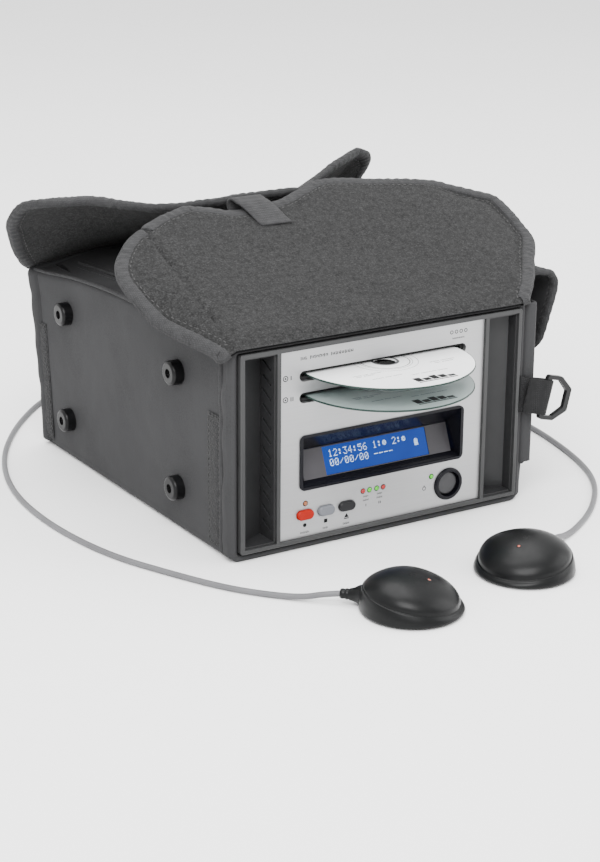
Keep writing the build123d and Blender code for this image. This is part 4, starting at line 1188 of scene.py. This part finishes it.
MIC_FOOT = 33.2
MIC_RIM = 31.2
MIC_TOP = 23.5
MIC_RIDGE = 10.0
MIC_TILT = 5.0


class Microphone:
    """A boundary microphone: a flared skirt, a tilted ridge and a broad low dome."""

    def __init__(self, label, x, y, heading):
        self.label = label
        self.spot = at(x, y, 0)
        self.heading = heading

    def place(self, radius, angle, z):
        """A point from its distance and its angle past the lead's side, in millimetres and degrees."""
        a = math.radians(self.heading + angle)
        return self.spot + Vector((math.cos(a), math.sin(a), 0)) * (radius * MM) + UP * (z * MM)

    def ridge(self, angle):
        """The height of the skirt's upper edge."""
        return MIC_RIDGE + MIC_TILT * math.cos(math.radians(angle))

    def dome(self, radius, angle):
        """The dome's height: a flat top with steep sides, which falls off gently towards the lead."""
        share = min(1.0, radius / (MIC_RIM - 0.9))
        ahead = math.cos(math.radians(angle))
        slack = 0.46 + 0.3 * smooth_step(ahead * share, 0.0, 0.9)
        level = MIC_RIDGE + 0.6 + MIC_TILT * ahead * share
        return level + (MIC_TOP - MIC_RIDGE - 0.6) * (1 - share * share) ** slack

    def body(self):
        """Skirt, ridge and dome in one skin, swept round the middle."""
        turns = 96
        rows = []
        for k in range(turns):
            angle = 360 * k / turns
            ridge = self.ridge(angle)
            row = [(MIC_FOOT - 4.5, 1.2), (MIC_FOOT - 1.2, 0.9), (MIC_FOOT - 0.2, 1.6), (MIC_FOOT, 2.6)]
            for i in range(1, 8):
                t = i / 7
                lean = (MIC_FOOT - MIC_RIM) * t ** 0.8 - 0.5 * math.sin(math.pi * t)
                row.append((MIC_FOOT - lean, 2.6 + (ridge - 3.0) * t))
            row += [(MIC_RIM - inset, ridge + up) for inset, up in ((0.35, 0.25), (0.8, 0.1), (0.95, 0.5))]
            for i in range(1, 21):
                radius = (MIC_RIM - 0.95) * math.cos(math.pi / 2 * i / 20)
                row.append((radius, self.dome(radius, angle)))
            rows.append([self.place(r, angle, z) for r, z in row])
        cols = len(rows[0])
        points = [p for row in rows for p in row]
        faces = lattice(turns, cols, True, False)
        faces.append(tuple(i * cols for i in range(turns)))
        shell = piece(f"mic_body_{self.label}", points, faces, "microphone")
        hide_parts(f"mic_shell_{self.label}")

    def snout(self):
        """The tapered boot that the lead leaves through, with shallow flex rings."""
        way = (self.place(1, 0, 0) - self.spot).normalized()
        across = Vector((-way.y, way.x, 0))
        points = []
        sides = 20
        profile = [
            (45.2, 2.2), (45.0, 2.9), (44.0, 3.3), (43.0, 3.35), (42.2, 3.05), (41.4, 3.5), (40.4, 3.6),
            (39.6, 3.3), (38.8, 3.9), (37.6, 4.1), (36.0, 4.6), (34.4, 5.4), (32.8, 6.6), (31.0, 8.2),
            (28.5, 9.6),
        ]
        for reach, radius in profile:
            for k in range(sides):
                a = 2 * math.pi * k / sides
                lift = 7.0 + min(radius, 6.0) * math.sin(a) + 0.12 * max(0.0, 36 - reach)
                ring = across * (radius * math.cos(a) * MM)
                points.append(self.spot + way * (reach * MM) + ring + UP * (lift * MM))
        faces = lattice(len(profile), sides, False, True)
        faces += [tuple(range(sides)), tuple(range((len(profile) - 1) * sides, len(profile) * sides))]
        boot = piece(f"mic_boot_{self.label}", points, faces, "microphone")
        return boot

    def face(self, ahead, aside):
        """A point on the dome, from millimetres towards the lead and to its left."""
        radius = math.hypot(ahead, aside)
        angle = math.degrees(math.atan2(aside, ahead))
        return self.place(radius, angle, self.dome(radius, angle))

    def dot(self, name, ahead, aside, size, material, slot, lift=0.15):
        """A small button that follows the dome, a little proud of it."""
        points = [self.face(ahead, aside) + UP * lift * MM]
        sides = 14
        for ring, up in ((0.7, lift), (1.0, lift * 0.6), (1.1, -0.3)):
            for k in range(sides):
                a = 2 * math.pi * k / sides
                spot = self.face(ahead + size * ring * math.sin(a), aside + size * ring * math.cos(a))
                points.append(spot + UP * up * MM)
        faces = [(0, 1 + k, 1 + (k + 1) % sides) for k in range(sides)]
        for first in (1, 1 + sides):
            for k in range(sides):
                a, b = first + k, first + (k + 1) % sides
                faces.append((a, a + sides, b + sides, b))
        made = piece(name, points, faces, material)
        return made


def microphones():
    """Both microphones; gives back their boots, which go with the leads."""
    boots = {}
    for label, x, y, heading in (("left", -58, -119, 137), ("right", 40.5, -105.5, 28)):
        mic = Microphone(label, x, y, heading)
        mic.body()
        boots[label] = mic.snout()
        mic.dot(f"mic_lens_seat_{label}", -10.5, 0, 1.7, "slot", "mic_black")
        mic.dot(f"mic_lens_{label}", -10.5, 0, 0.9, "mic_lamp", "lamp_green", 0.4)
        for i in (-1.3, 1.3):
            for j in (-1.3, 1.3):
                hole = f"mic_hole_{label}_{'a' if i < 0 else 'b'}{'a' if j < 0 else 'b'}"
                mic.dot(hole, i, j, 0.55, "slot", "mic_black")
    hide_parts("mic_leds")
    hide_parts("mic_reliefs")
    return boots


boots = microphones()


# ======== Leads ========

LIE = 2.1
LEAD_DIA = 4 * MM
COIL_X, COIL_Y = 32.3, 76.5
COIL_TRACK = 29.0
COIL_TURNS = 6.44


def rear(x, y, z):
    """A point from millimetres, with y behind the case."""
    return (x * MM, BACK + y * MM, z * MM)


def coil(side):
    """Two layers of flat turns: inwards on top, then outwards on the table."""
    start = -59.4
    points = []
    steps = int(COIL_TURNS * 14)
    for i in range(1, steps):
        share = i / steps
        turned = COIL_TURNS * share
        inward = min(turned, COIL_TURNS - turned)
        radius = COIL_TRACK - 4.08 * inward
        height = 6.9 - 4.1 * smooth_step(turned, COIL_TURNS / 2 - 0.15, COIL_TURNS / 2 + 0.15)
        angle = math.radians(start + 360 * turned)
        x = side * (COIL_X - radius * math.cos(angle))
        points.append(rear(x, COIL_Y + radius * math.sin(angle), height))
    return points


# Down from the socket to the coil; the left lead mirrors the right one here.
PLUG_DROP = [
    (40, 20, 60), (40, 30, 58.5), (40, 39, 50.5), (40, 43, 38.5),
    (39, 43.5, 26), (36, 43.5, 14.5), (28.5, 45, 7.8), (17.5, 51.5, 6.1),
]
# From the coil round the case on the table, then up into the microphone's boot.
LEFT_RUN = [
    (-37.3, 105), (-51, 102.4), (-67, 94), (-84, 80), (-101, 63), (-127, 32), (-155, -11), (-175, -56),
    (-187, -103), (-190.5, -153), (-187, -200), (-178, -242), (-162, -280), (-143, -320), (-124, -345),
]
LEFT_END = [(-109, -361, 3.0), (-99, -369.5, 6.2), (-90.18, -375.99, 7)]
RIGHT_RUN = [
    (37.3, 105), (51, 103), (69, 97), (91, 84), (115, 65), (143, 38), (175, -2), (201, -43),
    (217, -85), (223, -130), (221, -172), (213, -213), (203, -249), (191, -278), (172, -306),
    (143, -335), (112, -356),
]
RIGHT_END = [(97, -363.5, 3.2), (88, -368, 6.2), (79.35, -371.84, 7)]


def coil_tie(side, label):
    """A strap round the coil, on the side away from the socket."""
    path = []
    for k in range(24):
        a = 2 * math.pi * k / 24
        out = 22.5 + 9.6 * math.copysign(abs(math.cos(a)) ** 0.35, math.cos(a))
        up = 4.75 + 4.35 * math.copysign(abs(math.sin(a)) ** 0.35, math.sin(a))
        path.append(Vector(rear(side * (COIL_X + out), COIL_Y, up)))
    return ribbon(f"coil_tie_{label}", path + path[:2], Vector((0, 1, 0)), 9 * MM, 0.7 * MM, "webbing")


def lead(label, side, run, end):
    """A lead from its socket to its microphone, with the coil's tie."""
    points = [rear(side * x, y, z) for x, y, z in PLUG_DROP] + coil(side)
    points += [rear(x, y, LIE) for x, y in run] + [rear(*p) for p in end]
    name = f"lead_{label}"
    curve = bpy.data.curves.new(name, "CURVE")
    curve.dimensions = "3D"
    curve.bevel_depth = LEAD_DIA / 2
    curve.bevel_resolution = 3
    curve.resolution_u = 6
    spline = curve.splines.new("NURBS")
    spline.points.add(len(points) - 1)
    for spot, point in zip(spline.points, points):
        spot.co = (*point, 1)
    spline.order_u = 3
    spline.use_endpoint_u = True
    obj = placed(name, curve, "lead", ROOT)
    tie = coil_tie(side, label)
    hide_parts(f"mic_lead_{label}", f"mic_coil_{label}")
    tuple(points[0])


lead("left", -1, LEFT_RUN, LEFT_END)
lead("right", 1, RIGHT_RUN, RIGHT_END)


# ======== Stage, camera and light ========


def stage():
    """A pale floor that runs far enough back to fill the view."""
    mesh = bpy.data.meshes.new("floor")
    far = 9.0
    mesh.from_pydata([(-far, -far, 0), (far, -far, 0), (far, far, 0), (-far, far, 0)], [], [(0, 1, 2, 3)])
    floor = bpy.data.objects.new("floor", mesh)
    bpy.context.scene.collection.objects.link(floor)
    pale = Shader("pale_floor", (0.93, 0.93, 0.93), 0.9)
    pale.vary(pale.noise(0.4, 2), 0.3, 0.7, 0.01)
    mesh.materials.append(pale.material)


def soft_light(name, place, size, power):
    """A square lamp that looks at the recorder."""
    data = bpy.data.lights.new(name, "AREA")
    data.energy = power
    data.size = size
    light = bpy.data.objects.new(name, data)
    light.location = place
    light.rotation_euler = (Vector((0, 0, 0.1)) - Vector(place)).to_track_quat("-Z", "Y").to_euler()
    bpy.context.scene.collection.objects.link(light)


def camera():
    """Looks down at the recorder from its front left."""
    heading, pitch, roll = (math.radians(a) for a in (32.048, 18.84, 0.48))
    ahead = math.cos(pitch)
    forward = Vector((math.sin(heading) * ahead, math.cos(heading) * ahead, -math.sin(pitch)))
    right = Vector((math.cos(heading), -math.sin(heading), 0))
    up = right.cross(forward)
    across = right * math.cos(roll) + up * math.sin(roll)
    upward = up * math.cos(roll) - right * math.sin(roll)
    data = bpy.data.cameras.new("camera")
    data.sensor_width = 36
    data.lens = 86.56
    data.clip_end = 30
    seen = bpy.data.objects.new("camera", data)
    turn = Matrix((across, upward, -forward)).transposed().to_4x4()
    seen.matrix_world = Matrix.Translation(at(-744.8, -1083.8, 520.0)) @ turn
    bpy.context.scene.collection.objects.link(seen)
    bpy.context.scene.camera = seen


def lights():
    """An even white world and three soft lamps."""
    world = bpy.data.worlds.new("studio")
    world.use_nodes = True
    background = world.node_tree.nodes["Background"]
    background.inputs["Color"].default_value = (1, 1, 1, 1)
    background.inputs["Strength"].default_value = 1.75
    bpy.context.scene.world = world
    soft_light("key", (-0.9, -1.3, 1.7), 1.4, 78)
    soft_light("fill", (1.6, -0.9, 1.0), 1.6, 26)
    soft_light("top", (0.1, 0.5, 2.0), 1.6, 42)


stage()
camera()
lights()
